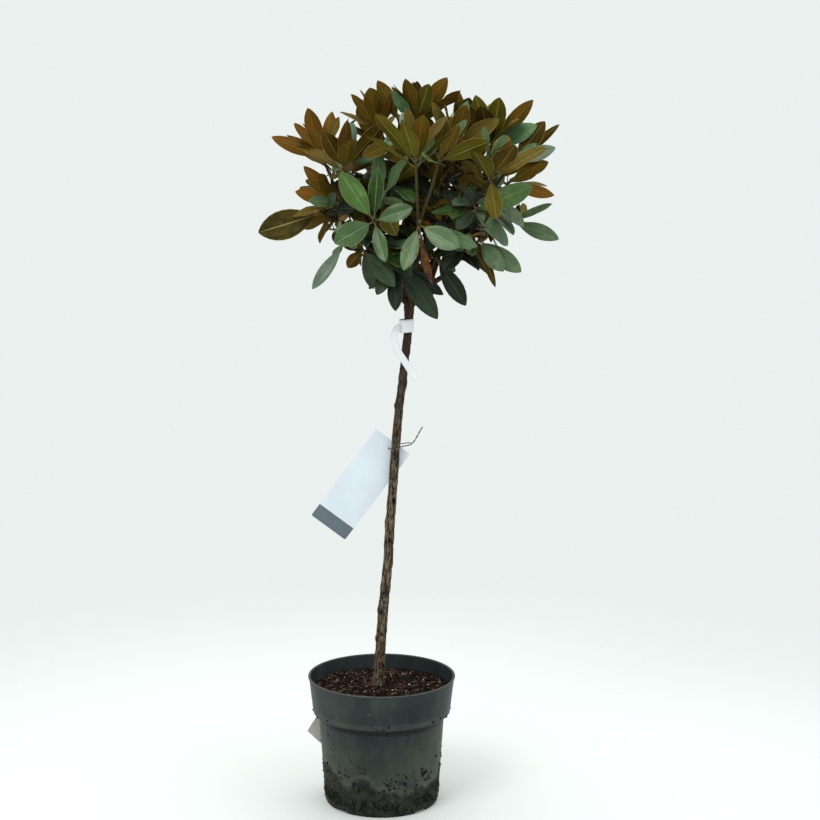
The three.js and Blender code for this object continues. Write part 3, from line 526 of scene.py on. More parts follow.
def felt_material(name, color, glimmer):
    """The lower face of a blade: a close brown felt over raised veins, greener to its base,
    with painted shade towards its edge.
    """
    finish = Finish(f"leaf_{name}", 0.85, 0.06)
    veins = leaf_veins(finish)
    base, green = linear(*color), linear(*glimmer)
    shade = finish.layers(
        blade_shades(finish, base, green),
        (finish.between(blade_place(finish)[0], 0.15, 0.75, 1.0, 0.0) * 0.45, green),
        # Painted shade towards the edge.
        (blade_edge(finish) * 0.6, toned(base, 0.5)),
        (veins * 0.12, toned(base, 1.5)),
    )
    fuzz = finish.bump(finish.noise(2600, 2.0), 0.0002, 0.7)
    return finish.done(shade, finish.bump(veins, VEINS.depth, 0.7, fuzz))


def plain_material(name, color, roughness):
    """One colour in soft light and dark patches, with a fine grain."""
    finish = Finish(name, roughness)
    base = linear(*color)
    shade = finish.mix(finish.patches(80, 0.3, 0.7), toned(base, 0.75), base)
    return finish.done(shade, finish.bump(finish.noise(960, 3.0), 0.0002, 0.5))


def dead_leaf_material():
    finish = Finish("leaf_dead", 0.8)
    shade = finish.mix(finish.patches(90, 0.35, 0.65, detail=5.0), linear(58, 31, 15), linear(122, 70, 32))
    return finish.done(shade, finish.bump(finish.noise(420, 4.0), 0.0008, 0.8))


# Where the dirt, a painted shade and a painted highlight sit on the pot, in metres over its foot: the shade
# at the shoulder under the band, the highlight on the lip. The mud's line rises to the pot's left and right.
DIRT_AND_PAINTED_LIGHT = Record(band_foot=0.1745, shoulder=0.1610, splashes=0.064, tide=0.054, rise=0.28, worn_from=0.2325)


def pot_material():
    """Blue-black moulded plastic under dust, with a painted highlight along the lip, painted shade under the
    band, and wet mud towards the foot.
    """
    finish = Finish("pot_plastic", 0.6, 0.2)
    noise, patches, between = finish.noise, finish.patches, finish.between
    across, height = finish.coordinates(finish.place(), 0, 2)
    dust = patches(15, 0.44, 0.74, 0.34, detail=6.0, stretch=(1, 1, 0.45), rough=0.62)
    band_dust = between(abs(height - DIRT_AND_PAINTED_LIGHT.band_foot), 0.007, 0.002) * noise(38, 5.0, rough=0.7)
    mud_line = height + (noise(9, 6.0, rough=0.62) - 0.5) * 0.2 - abs(across) * DIRT_AND_PAINTED_LIGHT.rise
    mud = between(mud_line, 0.050, 0.040, 0, 0.92)
    dots = patches(85, 0.55, 0.60, rough=0.65) * patches(16, 0.47, 0.56, detail=3.0)
    splashes = dots * (between(abs(mud_line - DIRT_AND_PAINTED_LIGHT.splashes), 0.032, 0.014) * 0.85)
    color = finish.layers(
        finish.mix(patches(9, 0.3, 0.7, detail=3.0), linear(24, 31, 33), linear(37, 45, 45)),
        (dust, linear(84, 92, 84)),
        (band_dust * 0.34, linear(96, 102, 94)),
        # Painted shade: a dark band just under the rim band, at the shoulder.
        (between(abs(height - DIRT_AND_PAINTED_LIGHT.shoulder), 0.0080, 0.003, 0, 0.92), linear(12, 15, 14)),
        (between(mud_line, 0.14, 0.07, 0, 0.45) * noise(22, 5.0), linear(84, 88, 72)),
        (between(abs(mud_line - DIRT_AND_PAINTED_LIGHT.tide), 0.008, 0.0, 0, 0.16), linear(108, 112, 94)),
        (mud, finish.mix(patches(75, 0.35, 0.65, detail=5.0), linear(17, 19, 15), linear(44, 45, 35))),
        (splashes, linear(18, 21, 19)),
        (patches(30, 0.64, 0.73, 0.35, detail=5.0, stretch=(1, 1, 6), rough=0.7), linear(118, 124, 118)),
        # Painted highlight: the top of the lip lighter, where it catches the light.
        (between(height, DIRT_AND_PAINTED_LIGHT.worn_from, 0.2342) * noise(26, 4.0) * 0.5, linear(112, 112, 98)),
    )
    crust = noise(190, 5.0) * (mud + splashes)
    skin = finish.bump(noise(700, 3.0), 0.00012, 0.45)
    roughness = mud * 0.28 + between(dust, 0, 0.34, 0.46, 0.66)
    return finish.done(color, finish.bump(crust, 0.0012, 0.7, skin), roughness)


def mix_material(name, dark, light):
    """Damp peat and bark crumbs of one tint."""
    finish = Finish(name, 0.92, 0.08)
    shade = finish.mix(finish.patches(220, 0.34, 0.66, detail=5.0, rough=0.65), linear(*dark), linear(*light))
    return finish.done(shade, finish.bump(finish.noise(880, 4.0), 0.0012, 0.9))


def bark_material(name, furrow, plate, bright, relief=True):
    """Bark, dark in its furrows and greyer on its plates, with a little of the warm under-bark showing.
    The deepest furrows are painted darker still as shade, and the bark is painted darker up towards and
    within the crown, as the crown's shade.
    """
    finish = Finish(name, 0.88, 0.15)
    if relief:
        height = finish.value("Attribute", {}, "Fac", attribute_name="relief")
    else:
        height = finish.noise(300, 4.0, (1, 1, 0.3))
    grain = finish.noise(640, 5.0, (1, 1, 0.16), 0.7)
    color = finish.layers(
        # Furrows darker than plates: partly the bark's own colour, partly painted shade.
        finish.mix(finish.between(height * 0.6 + grain * 0.9, 0.52, 1.0), linear(*furrow), linear(*plate)),
        (finish.patches(60, 0.52, 0.68, 0.6, stretch=(1, 1, 0.3), rough=0.6), linear(*bright)),
        (finish.patches(130, 0.56, 0.7, 0.5, stretch=(1, 1, 0.25), rough=0.6) * height, paler(plate, 46)),
        # Painted shade: the deepest furrows darker still.
        (finish.between(height, 0.38, 0.12, 0, 0.9), linear(*furrow)),
        # Painted shade: darker up the stem towards the crown, and on the boughs and twigs within it.
        (finish.between(*finish.coordinates(finish.place(), 2), 0.56, 0.86, 0, 0.8), linear(46, 34, 26)),
    )
    return finish.done(color, finish.bump(grain, 0.0009, 0.8))


def paper_material(name, color, roughness=0.45):
    finish = Finish(name, roughness)
    base = linear(*color)
    shade = finish.mix(finish.patches(18, 0.3, 0.7, detail=3.0), toned(base, 0.93), base)
    return finish.done(shade, finish.bump(finish.noise(1500, 2.0), 0.00005, 0.4))


def wire_material():
    finish = Finish("card_wire", 0.5, Metallic=0.4, Base_Color=linear(38, 46, 48))
    return finish.done(normal=finish.bump(finish.noise(900, 3.0), 0.0002, 0.5))


MATERIALS = {name: leaf_material(name, *values[:-2]) for name, values in LEAF_COLORS.items()}
MATERIALS.update({name: felt_material(name, *values[:-1]) for name, values in FELT_COLORS.items()})
MATERIALS.update({name: plain_material(name, color, 0.6) for name, color in TRIM_COLORS.items()})
MATERIALS.update(
    dead=dead_leaf_material(),
    petiole=plain_material("petiole", (112, 98, 52), 0.55),
    bud=plain_material("bud_scale", (96, 82, 44), 0.55),
    pot=pot_material(),
    soil=mix_material("potting_mix", (8, 6, 5), (28, 22, 16)),
    chip_dark=mix_material("chip_dark", (12, 9, 7), (36, 28, 21)),
    chip_red=mix_material("chip_red", (48, 30, 25), (88, 62, 52)),
    chip_tan=mix_material("chip_tan", (98, 78, 56), (150, 124, 94)),
    chip_pale=mix_material("chip_pale", (160, 156, 144), (204, 200, 190)),
    mud_crumb=mix_material("mud_crumb", (30, 31, 24), (58, 57, 46)),
    mud_dark=mix_material("mud_dark", (10, 11, 9), (30, 30, 24)),
    trunk_bark=bark_material("trunk_bark", (17, 11, 5), (118, 104, 85), (92, 65, 40)),
    bough_bark=bark_material("bough_bark", (38, 22, 17), (108, 78, 58), (120, 70, 46)),
    twig_bark=bark_material("twig_bark", (44, 32, 20), (92, 78, 46), (104, 70, 38), relief=False),
    twig_green=bark_material("twig_green", (84, 92, 44), (132, 142, 78), (118, 106, 58), relief=False),
    card=paper_material("card_face", (216, 225, 234)),
    card_band=paper_material("card_band", (96, 108, 116)),
    old_card=paper_material("old_card", (250, 246, 232), 0.6),
    wire=wire_material(),
    label=paper_material("label_film", (232, 236, 238), 0.35),
)

# ---------------------------------------------------------------- meshes


class Batch:
    """Points, faces and materials of many small forms, joined into one mesh."""

    def __init__(self):
        self.points = []
        self.faces = []
        self.kinds = []
        self.places = []
        self.relief = []
        self.count = 0

    def add(self, points, faces, kinds, places=None, relief=None):
        """Adds a form. kinds names its material, or one for each face."""
        points = np.asarray(points, float).reshape(-1, 3)
        self.points.append(points)
        self.faces += [[corner + self.count for corner in face] for face in faces]
        self.kinds += [kinds] * len(faces) if isinstance(kinds, str) else list(kinds)
        self.places.append(np.zeros((len(points), 2)) if places is None else places.reshape(-1, 2))
        self.relief.append(np.zeros(len(points)) if relief is None else relief)
        self.count += len(points)
        return self

    def piece(self, name, slot, nodes=(), smooth=True):
        """The mesh object, riding on the plant, with the nodes that it replaces hidden. Its slot is not used.
        """
        mesh = bpy.data.meshes.new(name)
        mesh.from_pydata((np.concatenate(self.points) * MM).tolist(), [], self.faces)
        index = {kind: i for i, kind in enumerate(sorted(set(self.kinds)))}
        for kind in index:
            mesh.materials.append(MATERIALS[kind])
        mesh.polygons.foreach_set("material_index", [index[kind] for kind in self.kinds])
        mesh.polygons.foreach_set("use_smooth", [smooth] * len(self.faces))
        corners = np.empty(len(mesh.loops), np.int32)
        mesh.loops.foreach_get("vertex_index", corners)
        layer = mesh.uv_layers.new(name="UVMap")
        layer.data.foreach_set("uv", np.concatenate(self.places)[corners].ravel())
        attribute = mesh.attributes.new("relief", "FLOAT", "POINT")
        attribute.data.foreach_set("value", np.concatenate(self.relief))
        mesh.update()
        piece = bpy.data.objects.new(name, mesh)
        bpy.context.scene.collection.objects.link(piece)
        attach(piece, "root")
        if nodes:
            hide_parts(*nodes)


def grid_faces(rows, columns, closed):
    """Faces between the rows of a grid of points. A closed grid joins its last column to its first."""
    faces = []
    for row in range(rows - 1):
        for column in range(columns if closed else columns - 1):
            after = (column + 1) % columns
            low = row * columns
            faces.append([low + column, low + after, low + columns + after, low + columns + column])
    return faces


def closed_faces(rows, sides):
    """The faces of a form made of rings, with one face over each end."""
    last = (rows - 1) * sides
    return grid_faces(rows, sides, True) + [list(range(sides))[::-1], [last + k for k in range(sides)]]


def turned(profile, sides, change=None):
    """Points and faces of a profile of (radius, height) turned round the upright axis."""
    angles = np.arange(sides) * tau / sides
    radius = np.array([[point[0]] for point in profile]) * np.ones(sides)
    height = np.array([[point[1]] for point in profile]) * np.ones(sides)
    if change:
        radius, height = change(radius, height, angles)
    points = np.stack([radius * np.cos(angles), radius * np.sin(angles), height], -1)
    return points, closed_faces(len(profile), sides)


def rounded(profile, reach, steps=4):
    """A profile with each corner between its ends replaced by a small arc."""
    points = [Vector(profile[0])]
    for before, corner, after in zip(profile, profile[1:], profile[2:]):
        before, corner, after = Vector(before), Vector(corner), Vector(after)
        cut = min(reach, (before - corner).length * 0.45, (after - corner).length * 0.45)
        start = corner + (before - corner).normalized() * cut
        end = corner + (after - corner).normalized() * cut
        for step in range(steps + 1):
            share = step / steps
            points.append(start.lerp(corner, share).lerp(corner.lerp(end, share), share))
    points.append(Vector(profile[-1]))
    return points


def side_of(heading):
    """A level direction square to a heading, or +X square to it where the heading is upright."""
    side = UP.cross(heading)
    if side.length < 0.05:
        side = Vector((1, 0, 0)) - heading * heading.x
    return side.normalized()


def rings(points):
    """Middle, side direction and third direction of each ring along a limb, without twisting."""
    found = []
    side = side_of((points[1] - points[0]).normalized())
    for i, point in enumerate(points):
        heading = (points[min(i + 1, len(points) - 1)] - points[max(i - 1, 0)]).normalized()
        side = (side - heading * side.dot(heading)).normalized()
        found.append((point, side, heading.cross(side), heading))
    return found


def tube(points, radii, sides, relief=None):
    """Points, faces and bark heights of a round limb. relief gives a ring's extra radius at an angle."""
    out = []
    heights = []
    for i, (middle, side, third, _) in enumerate(rings(points)):
        for k in range(sides):
            angle = tau * k / sides
            extra, height = relief(i, angle, middle) if relief else (0.0, 0.5)
            radius = radii[i] + extra
            out.append(middle + side * (radius * cos(angle)) + third * (radius * sin(angle)))
            heights.append(height)
    return out, closed_faces(len(points), sides), heights


# ---------------------------------------------------------------- growth, by the rule of the solids


def random_source(seed):
    """A seeded source of numbers from 0 to 1."""
    state = seed % RANDOM.states

    def draw():
        nonlocal state
        state = (state * RANDOM.factor + RANDOM.step) % RANDOM.states
        return state / RANDOM.states
    for _ in range(RANDOM.discarded):
        draw()
    return draw


class Curve:
    """A limb's curve, which sets off along one direction and arrives along another."""

    def __init__(self, start, leaving, end, arriving, bow=Vector()):
        pull = LIMB_PULL * (end - start).length
        self.points = [start, start + leaving * pull + bow, end - arriving * pull + bow, end]

    def at(self, share):
        a, b, c, d = self.points
        rest = 1 - share
        return a * rest**3 + b * (3 * rest * rest * share) + c * (3 * rest * share * share) + d * share**3

    def heading(self, share):
        a, b, c, d = self.points
        rest = 1 - share
        return ((b - a) * rest**2 + (c - b) * (2 * rest * share) + (d - c) * share**2).normalized()

    def row(self, steps):
        return [self.at(i / steps) for i in range(steps + 1)]


def smooth_row(points, steps):
    """Points along a smooth line through a few given ones (Catmull-Rom)."""
    ends = [points[0] * 2 - points[1], *points, points[-1] * 2 - points[-2]]
    row = []
    spans = len(points) - 1
    for i in range(steps + 1):
        along = min(i / steps * spans, spans - 1e-6)
        k = int(along)
        t = along - k
        a, b, c, d = ends[k:k + 4]
        cubic = (b * 3 - a - c * 3 + d) * t**3
        row.append((b * 2 + (c - a) * t + (a * 2 - b * 5 + c * 4 - d) * t**2 + cubic) / 2)
    return row


TRUNK_ROW = smooth_row([Vector((x, 0, z)) for x, z in TRUNK_LINE], 240)


def trunk_point(height):
    """Middle of the stem at a height."""
    for low, high in zip(TRUNK_ROW, TRUNK_ROW[1:]):
        if high.z >= height:
            break
    return low.lerp(high, (height - low.z) / (high.z - low.z))


def trunk_radius(height):
    share = (height - SOIL.top) / (TRUNK.tip - SOIL.top)
    flare = TRUNK.flare * exp(-(height - SOIL.top) / TRUNK.flare_height)
    swell = TRUNK.head_swell * exp(-(((height - TRUNK.head) / TRUNK.head_height) ** 2))
    return TRUNK.foot_radius + (TRUNK.tip_radius - TRUNK.foot_radius) * share + flare + swell


def rising(outward, shares):
    return (outward * shares[0] + UP * shares[1]).normalized()


def level(direction):
    return Vector((direction.x, direction.y, 0)).normalized()


def rolled(direction, degrees, axis):
    """A direction turned round an axis."""
    direction = direction.copy()
    direction.rotate(Matrix.Rotation(radians(degrees), 3, axis))
    return direction


def bough_curve(name, height, middle):
    """The bough that carries a mass: from the middle of the stem to half way out to the mass's shoots."""
    start = trunk_point(height)
    end = start.lerp(middle, BOUGH.reach) - UP * BOUGH.sag
    aim = (middle - start).normalized()
    leaving = UP if name == "top" else rising(level(aim), BOUGH.leaving)
    return Curve(start, leaving, end, rising(aim, BOUGH.arriving))


def shoot_axis(shoot):
    bearing = atan2(shoot.tip.y - CROWN.axis_y, shoot.tip.x - CROWN.axis_x)
    rise = radians(POSES[shoot.pose].rise if shoot.rise is None else shoot.rise)
    return Vector((cos(bearing) * cos(rise), sin(bearing) * cos(rise), sin(rise)))


def whorl(tip, axis, pose, count, turn, draw, length=LEAF.length):
    """A whorl of leaves round a shoot, from the oldest and lowest to the youngest."""
    across = side_of(axis)
    third = axis.cross(across)

    def stray(spread):
        return (draw() - 0.5) * spread
    leaves = []
    for i in range(count):
        young = i / (count - 1)
        angle = radians(turn + i * GOLDEN_ANGLE + stray(JITTER.angle))
        lean = radians(pose.outer + (pose.inner - pose.outer) * young + stray(JITTER.lean))
        outward = across * cos(angle) + third * sin(angle)
        along = axis * cos(lean) + outward * sin(lean)
        face = rolled(axis * sin(lean) - outward * cos(lean), stray(LEAF.roll), along)
        size = length * (1 - LEAF.young_shorter * young) * (1 + stray(JITTER.length))
        width = size * (LEAF.width_share + LEAF.width_spread * draw())
        bend = max(radians(pose.bend + stray(JITTER.bend)), LEAST_BEND)
        root = tip - axis * ((1 - young) * LEAF.whorl_depth)
        leaf = Record(root=root, along=along, face=face, length=size, width=width, bend=bend, tone=None)
        leaves.append(leaf)
    return leaves


def aimed_leaf(twig, x, y, z, width, roll=0, tone=None):
    """A leaf that reaches from a twig's tip to a place of its own."""
    root = twig.tip - twig.axis * (LEAF.whorl_depth / 2)
    along = Vector((x, y, z)) - root
    length = along.length
    along.normalize()
    face = rolled((twig.axis - along * twig.axis.dot(along)).normalized(), roll, along)
    return Record(root=root, along=along, face=face, length=length, width=width, bend=AIMED_BEND, tone=tone)


def midrib(leaf, share):
    """Place and directions of a leaf's midrib at a share of its length. It bends away from its face."""
    radius = leaf.length / leaf.bend
    sine = sin(leaf.bend * share)
    cosine = cos(leaf.bend * share)
    point = leaf.root + leaf.along * (radius * sine) - leaf.face * (radius * (1 - cosine))
    return point, leaf.along * cosine - leaf.face * sine, leaf.face * cosine + leaf.along * sine


# ---------------------------------------------------------------- finding room

# Where the sections of a leaf's test body stand, as shares of its length, and their share of its full width.
BLADE = ((0.36, 0.72), (0.74, 0.93))
WEDGE_FACES = (
    (0, 1, 2), (0, 3, 1), (0, 2, 3), (7, 5, 4), (7, 6, 5), (7, 4, 6),
    (1, 5, 2), (1, 4, 5), (2, 6, 3), (2, 5, 6), (3, 4, 1), (3, 6, 4),
)


def leaf_wedge(leaf, start, margin):
    """A leaf as a wedge of twelve faces, for tests of what it meets."""
    corners = [midrib(leaf, start)[0]]
    for share, fill in BLADE:
        point, along, face = midrib(leaf, share)
        side = along.cross(face)
        half = leaf.width / 2 * fill + margin / 2
        rise = half * LEAF.fold + margin / 2
        corners += [point + side * half + face * rise, point - side * half + face * rise]
        corners.append(point - face * (LEAF.thickness + margin / 2))
    corners.append(midrib(leaf, 1)[0])
    return corners, WEDGE_FACES


def make_form(points, faces, owner, outer=None):
    """A body in the crown, the ball that holds it and, for a leaf, the part that is clear of its twig."""
    middle = sum(points, Vector()) / len(points)
    radius = max((point - middle).length for point in points)
    return Record(
        whole=BVHTree.FromPolygons(points, faces), owner=owner, ball=(*middle, radius),
        outer=BVHTree.FromPolygons(*outer) if outer else None,
    )


def limb_form(points, foot_radius, tip_radius, owner):
    corners, faces, _ = tube(points, np.linspace(foot_radius, tip_radius, len(points)), 5)
    return make_form(corners, faces, owner)


def taken(form, room):
    """Whether a form would meet one in the room. Forms of one owner are tested only by their outer parts."""
    if not room:
        return False
    balls = np.array([other.ball for other in room])
    away = np.linalg.norm(balls[:, :3] - form.ball[:3], axis=1)
    for i in np.nonzero(away < balls[:, 3] + form.ball[3])[0]:
        other = room[i]
        if other.owner in form.owner[1:]:
            continue
        if other.owner[0] != form.owner[0]:
            if form.whole.overlap(other.whole):
                return True
        elif form.outer and other.outer and form.outer.overlap(other.outer):
            return True
    return False


def inside_crown(point):
    away = hypot(point.x - CROWN.axis_x, point.y - CROWN.axis_y)
    return away < CROWN.radius and CROWN.bottom < point.z < CROWN.top


def inside_heart(point):
    offset = point - HEART.middle
    return Vector(a / b for a, b in zip(offset, HEART.reach)).length < 1


def settle(leaves, owner, room, inside=inside_crown):
    """The leaves that find room, each swung a little in its own plane where it has to be."""
    kept = []
    for leaf in leaves:
        for swing in TRIAL_SWINGS:
            trial = Record(**{**vars(leaf), "along": rolled(leaf.along, swing, leaf.face)})
            if not inside(midrib(trial, 1)[0]):
                continue
            body, outer = (leaf_wedge(trial, start, LEAF.spacing) for start in (0, LEAF.free_from))
            form = make_form(*body, owner, outer)
            if not taken(form, room):
                room.append(form)
                kept.append(trial)
                break
    return kept


# ---------------------------------------------------------------- the crown


def twig_points(curve, tip, axis):
    """The points of a twig. It is straight where its two whorls of leaves spring from it."""
    share = OLDER_WHORL.share
    place = curve.at(share)
    return [
        curve.at(0), curve.at(share / 3), place - curve.heading(share) * LEAF.whorl_depth, place,
        tip - axis * LEAF.whorl_depth, tip + axis * TWIG.bud_length,
    ]


def grow_twig(stem, shoot, room):
    """The twig from a stem to a shoot, bowed to one side where the straight way would meet another limb."""
    foot = stem.row[-1] - stem.direction * STEM.radius
    axis = shoot_axis(shoot)
    radii = TWIG.foot_radius + LIMB_CLEARANCE, TWIG.tip_radius + LIMB_CLEARANCE
    for bow in TRIAL_BOWS:
        curve = Curve(foot, stem.direction, shoot.tip, axis, side_of(axis) * bow)
        points = smooth_row(twig_points(curve, shoot.tip, axis), TWIG.steps)
        form = limb_form(points, *radii, (stem.name,))
        if not taken(form, room):
            return Record(
                name=stem.name, points=points, curve=curve, tip=shoot.tip, axis=axis, form=form, shoot=shoot,
            )
    return None


def grow_limbs(room):
    """The boughs, the stems at their ends or on the trunk, and the twigs to the shoots."""
    trunk_row = [trunk_point(SOIL.top + share * (TRUNK.tip - SOIL.top)) for share in np.linspace(0.01, 1, 20)]
    corners, faces, _ = tube(trunk_row, [trunk_radius(point.z) + LIMB_CLEARANCE for point in trunk_row], 10)
    room.append(make_form(corners, faces, ("trunk",)))
    boughs, stems, twigs = [], [], []
    for name, (height, shoots) in MASSES.items():
        middle = sum((shoot.tip for shoot in shoots), Vector()) / len(shoots)
        if name in DIRECT_MASSES:
            foot = trunk_point(height)
            direction = rising(level(middle - foot), DIRECT_STEM.leaving)
            buried = trunk_radius(height) + DIRECT_STEM.extra_length
            row = [foot, foot + direction * (STEM.length + buried)]
        else:
            row = bough_curve(name, height, middle).row(BOUGH.steps)
            direction = (row[-1] - row[-2]).normalized()
            boughs.append(Record(name=name, row=row))
            room.append(limb_form(row[4:], BOUGH.foot_radius, BOUGH.tip_radius, ("bough",)))
            row = [row[-1], row[-1] + direction * (STEM.length + GAP)]
        stems.append(Record(name=name, row=row, direction=direction))
        room.append(limb_form(row, STEM.radius, STEM.radius, (name,)))
    for stem in stems:
        own = list(filter(None, (grow_twig(stem, shoot, room) for shoot in MASSES[stem.name][1])))
        room.extend(twig.form for twig in own)
        twigs += own
    for index, twig in enumerate(twigs):
        twig.index = index
        twig.form.owner = (f"twig {index}",)
    return boughs, stems, twigs


def choose(tone, draw):
    """The upper and lower colour of a leaf from a mix."""
    pick = draw()
    for share, upper, lower in TONES[tone]:
        if pick < share:
            break
        pick -= share
    return upper, lower


def dress(leaves, tone, draw):
    """Leaves with their colours and the small differences of their blades."""
    for leaf in leaves:
        leaf.upper, leaf.lower = choose(leaf.tone or tone, draw)
        leaf.phase = draw()
        leaf.twist = (draw() - 0.5) * LEAF.twist
        leaf.wave = LEAF.least_wave + LEAF.more_wave * draw()
    return leaves


def grow_side_twigs(twig, room):
    """Finer twigs off a twig, each with a small whorl, wherever they find room."""
    grown = []
    draw = random_source(SIDE_TWIG.seed + twig.index * TWIG_SEED_STEP)
    lean = radians(SIDE_TWIG.angle)
    for k, share in enumerate(SIDE_TWIG.shares):
        step = share * (len(twig.points) - 1)
        foot = twig.points[int(step)].lerp(twig.points[int(step) + 1], step - int(step))
        heading = twig.curve.heading(share)
        across = side_of(heading)
        owner = (f"{twig.form.owner[0]} side {k}", twig.form.owner[0])
        for attempt in range(SIDE_TWIG.attempts):
            angle = radians(GOLDEN_ANGLE * (k + attempt * SIDE_TWIG.turn) + draw() * SIDE_TWIG.stray)
            outward = across * cos(angle) + heading.cross(across) * sin(angle)
            direction = (heading * cos(lean) + outward * sin(lean)).normalized()
            axis = rising(direction, SIDE_TWIG.arriving)
            tip = foot + direction * SIDE_TWIG.lengths[attempt % len(SIDE_TWIG.lengths)]
            points = Curve(foot, direction, tip, axis).row(5)
            form = limb_form(points[1:], SIDE_TWIG.foot_radius, SIDE_TWIG.tip_radius, owner)
            if not inside_heart(tip) or taken(form, room):
                continue
            turn = draw() * 360
            leaves = whorl(tip, axis, POSES["side"], SIDE_TWIG.leaves, turn, draw, SIDE_TWIG.leaf_length)
            before = len(room)
            kept = settle(leaves, owner, room, inside_heart)
            if len(kept) < SIDE_TWIG.fewest_leaves:
                del room[before:]
                continue
            room.append(form)
            grown.append(Record(points=points, leaves=kept, axis=axis, tip=tip))
            break
    return grown


def grow_leaves(twigs, room):
    """The leaves of each mass and the side twigs: the aimed leaves find room first, then the whorls."""
    leaves = {name: [] for name in MASSES}
    side_twigs = []

    def keep(twig, own, tone, tint):
        leaves[twig.name] += dress(settle(own, twig.form.owner, room), tone, tint)
    for twig in twigs:
        own = [aimed_leaf(twig, *aim) for aim in twig.shoot.aimed]
        keep(twig, own, twig.shoot.tone, random_source(twig.index + TINT_SEEDS.aimed))
    for twig in twigs:
        shoot = twig.shoot
        draw = random_source(TWIG_SEED + twig.index * TWIG_SEED_STEP)
        tint = random_source(twig.index + TINT_SEEDS.whorls)
        own = whorl(twig.tip, twig.axis, POSES[shoot.pose], shoot.leaves, shoot.turn, draw)
        keep(twig, own, shoot.tone, tint)
        if shoot.older and shoot.pose != "hanging":
            place, heading = twig.curve.at(OLDER_WHORL.share), twig.curve.heading(OLDER_WHORL.share)
            turn = shoot.turn + OLDER_WHORL.turn
            own = whorl(place, heading, POSES["older"], OLDER_WHORL.leaves, turn, draw)
            keep(twig, own, shoot.older_tone, tint)
    for twig in twigs:
        if not twig.shoot.older:
            continue
        tint = random_source(twig.index + TINT_SEEDS.sides)
        for side in grow_side_twigs(twig, room):
            tone = twig.shoot.tone if side.tip.z > SIDE_TWIG.shaded_below else "inner"
            leaves[twig.name] += dress(side.leaves, tone, tint)
            side_twigs.append(side)
    return leaves, side_twigs


# ---------------------------------------------------------------- blades

STALK = Record(shares=(-0.02, 0.05, 0.10, 0.16), radii=(1.35, 1.05, 0.9, 0.7), sides=6)
# A bud's rings: their places along it and their radii, as shares of its length.
BUD = Record(
    steps=(-0.1, 0.1, 0.3, 0.5, 0.72, 0.9, 1.0), radii=(0.14, 0.24, 0.27, 0.23, 0.15, 0.07, 0.01), sides=10,
    scales=4, scale_height=0.3,
)
# Places of a blade's points across it, from edge to edge.
SECTION = np.array([-1, -0.95, -0.7, -0.38, -0.04, 0.04, 0.38, 0.7, 0.95, 1])
BLADE_FOLD = 0.3
RIB_COLUMN = 4
EDGE_COLUMNS = (0, 8)
BLADE_FACES = grid_faces(LEAF.rows, len(SECTION), False)
LOWER_FACES = [face[::-1] for face in BLADE_FACES]


def blade_width(share):
    """Half the width of a blade at a share of its length, as a share of its widest half."""
    widest = 1 / (1 + LEAF.tip_taper)
    peak = widest * (1 - widest) ** LEAF.tip_taper
    return np.clip(share, 0, 1) * np.clip(1 - share, 0, 1) ** LEAF.tip_taper / peak


def blade_sheets(leaf):
    """The upper and lower face of a blade as two grids of points that meet along its edge."""
    share = (1 - np.cos(pi * np.arange(LEAF.rows) / (LEAF.rows - 1))) / 2
    along = LEAF.petiole + (1 - LEAF.petiole) * share
    root, ahead, face = np.array(leaf.root), np.array(leaf.along), np.array(leaf.face)
    side = np.cross(ahead, face)
    radius = leaf.length / leaf.bend
    turn = leaf.bend * along
    middle = root + np.outer(radius * np.sin(turn), ahead) - np.outer(radius * (1 - np.cos(turn)), face)
    faces = np.outer(np.cos(turn), face) + np.outer(np.sin(turn), ahead)
    half = leaf.width / 2 * blade_width(share) + LEAF.foot * (1 - share)
    twist = leaf.twist * (share - LEAF.twist_from)
    across = half[:, None] * SECTION
    lift = BLADE_FOLD * np.abs(across) * (1.15 - 0.55 * np.abs(SECTION))
    ripple = np.sin(tau * (LEAF.waves * share[:, None] + leaf.phase + LEAF.wave_lag * np.sign(SECTION)))
    lift = lift + leaf.wave * SECTION**2 * ripple * blade_width(share)[:, None]
    sideways = across * np.cos(twist)[:, None] - lift * np.sin(twist)[:, None]
    upwards = across * np.sin(twist)[:, None] + lift * np.cos(twist)[:, None]
    sheet = middle[:, None] + sideways[..., None] * side + upwards[..., None] * faces[:, None]
    fullness = np.sin(pi * np.clip(share, 0.04, 1))[:, None] ** 0.4
    body = LEAF.thickness / 2 * (1 - np.abs(SECTION) ** 3) * fullness
    ridge = LEAF.rib * (np.abs(SECTION) < 0.06) * (1 - share[:, None]) ** 0.6
    upper = sheet + (body - ridge * 0.35)[..., None] * faces[:, None]
    lower = sheet - (body + ridge)[..., None] * faces[:, None]
    places = np.stack(np.broadcast_arrays(share[:, None], (SECTION + 1) / 2), -1)
    return upper, lower, places


def add_leaf(batch, leaf):
    """One leaf: a thin closed blade with its own upper and lower colour, its midrib, edge and stalk."""
    upper, lower, places = blade_sheets(leaf)
    for sheet, color, faces in ((upper, leaf.upper, BLADE_FACES), (lower, leaf.lower, LOWER_FACES)):
        rib, margin = TRIMS[color]
        strips = {RIB_COLUMN: rib, **dict.fromkeys(EDGE_COLUMNS, margin)}
        kinds = [strips.get(i % (len(SECTION) - 1), color) for i in range(len(faces))]
        batch.add(sheet, faces, kinds, places)
    stalk = [midrib(leaf, share)[0] for share in STALK.shares]
    points, faces, _ = tube(stalk, STALK.radii, STALK.sides)
    batch.add(points, faces, "petiole")


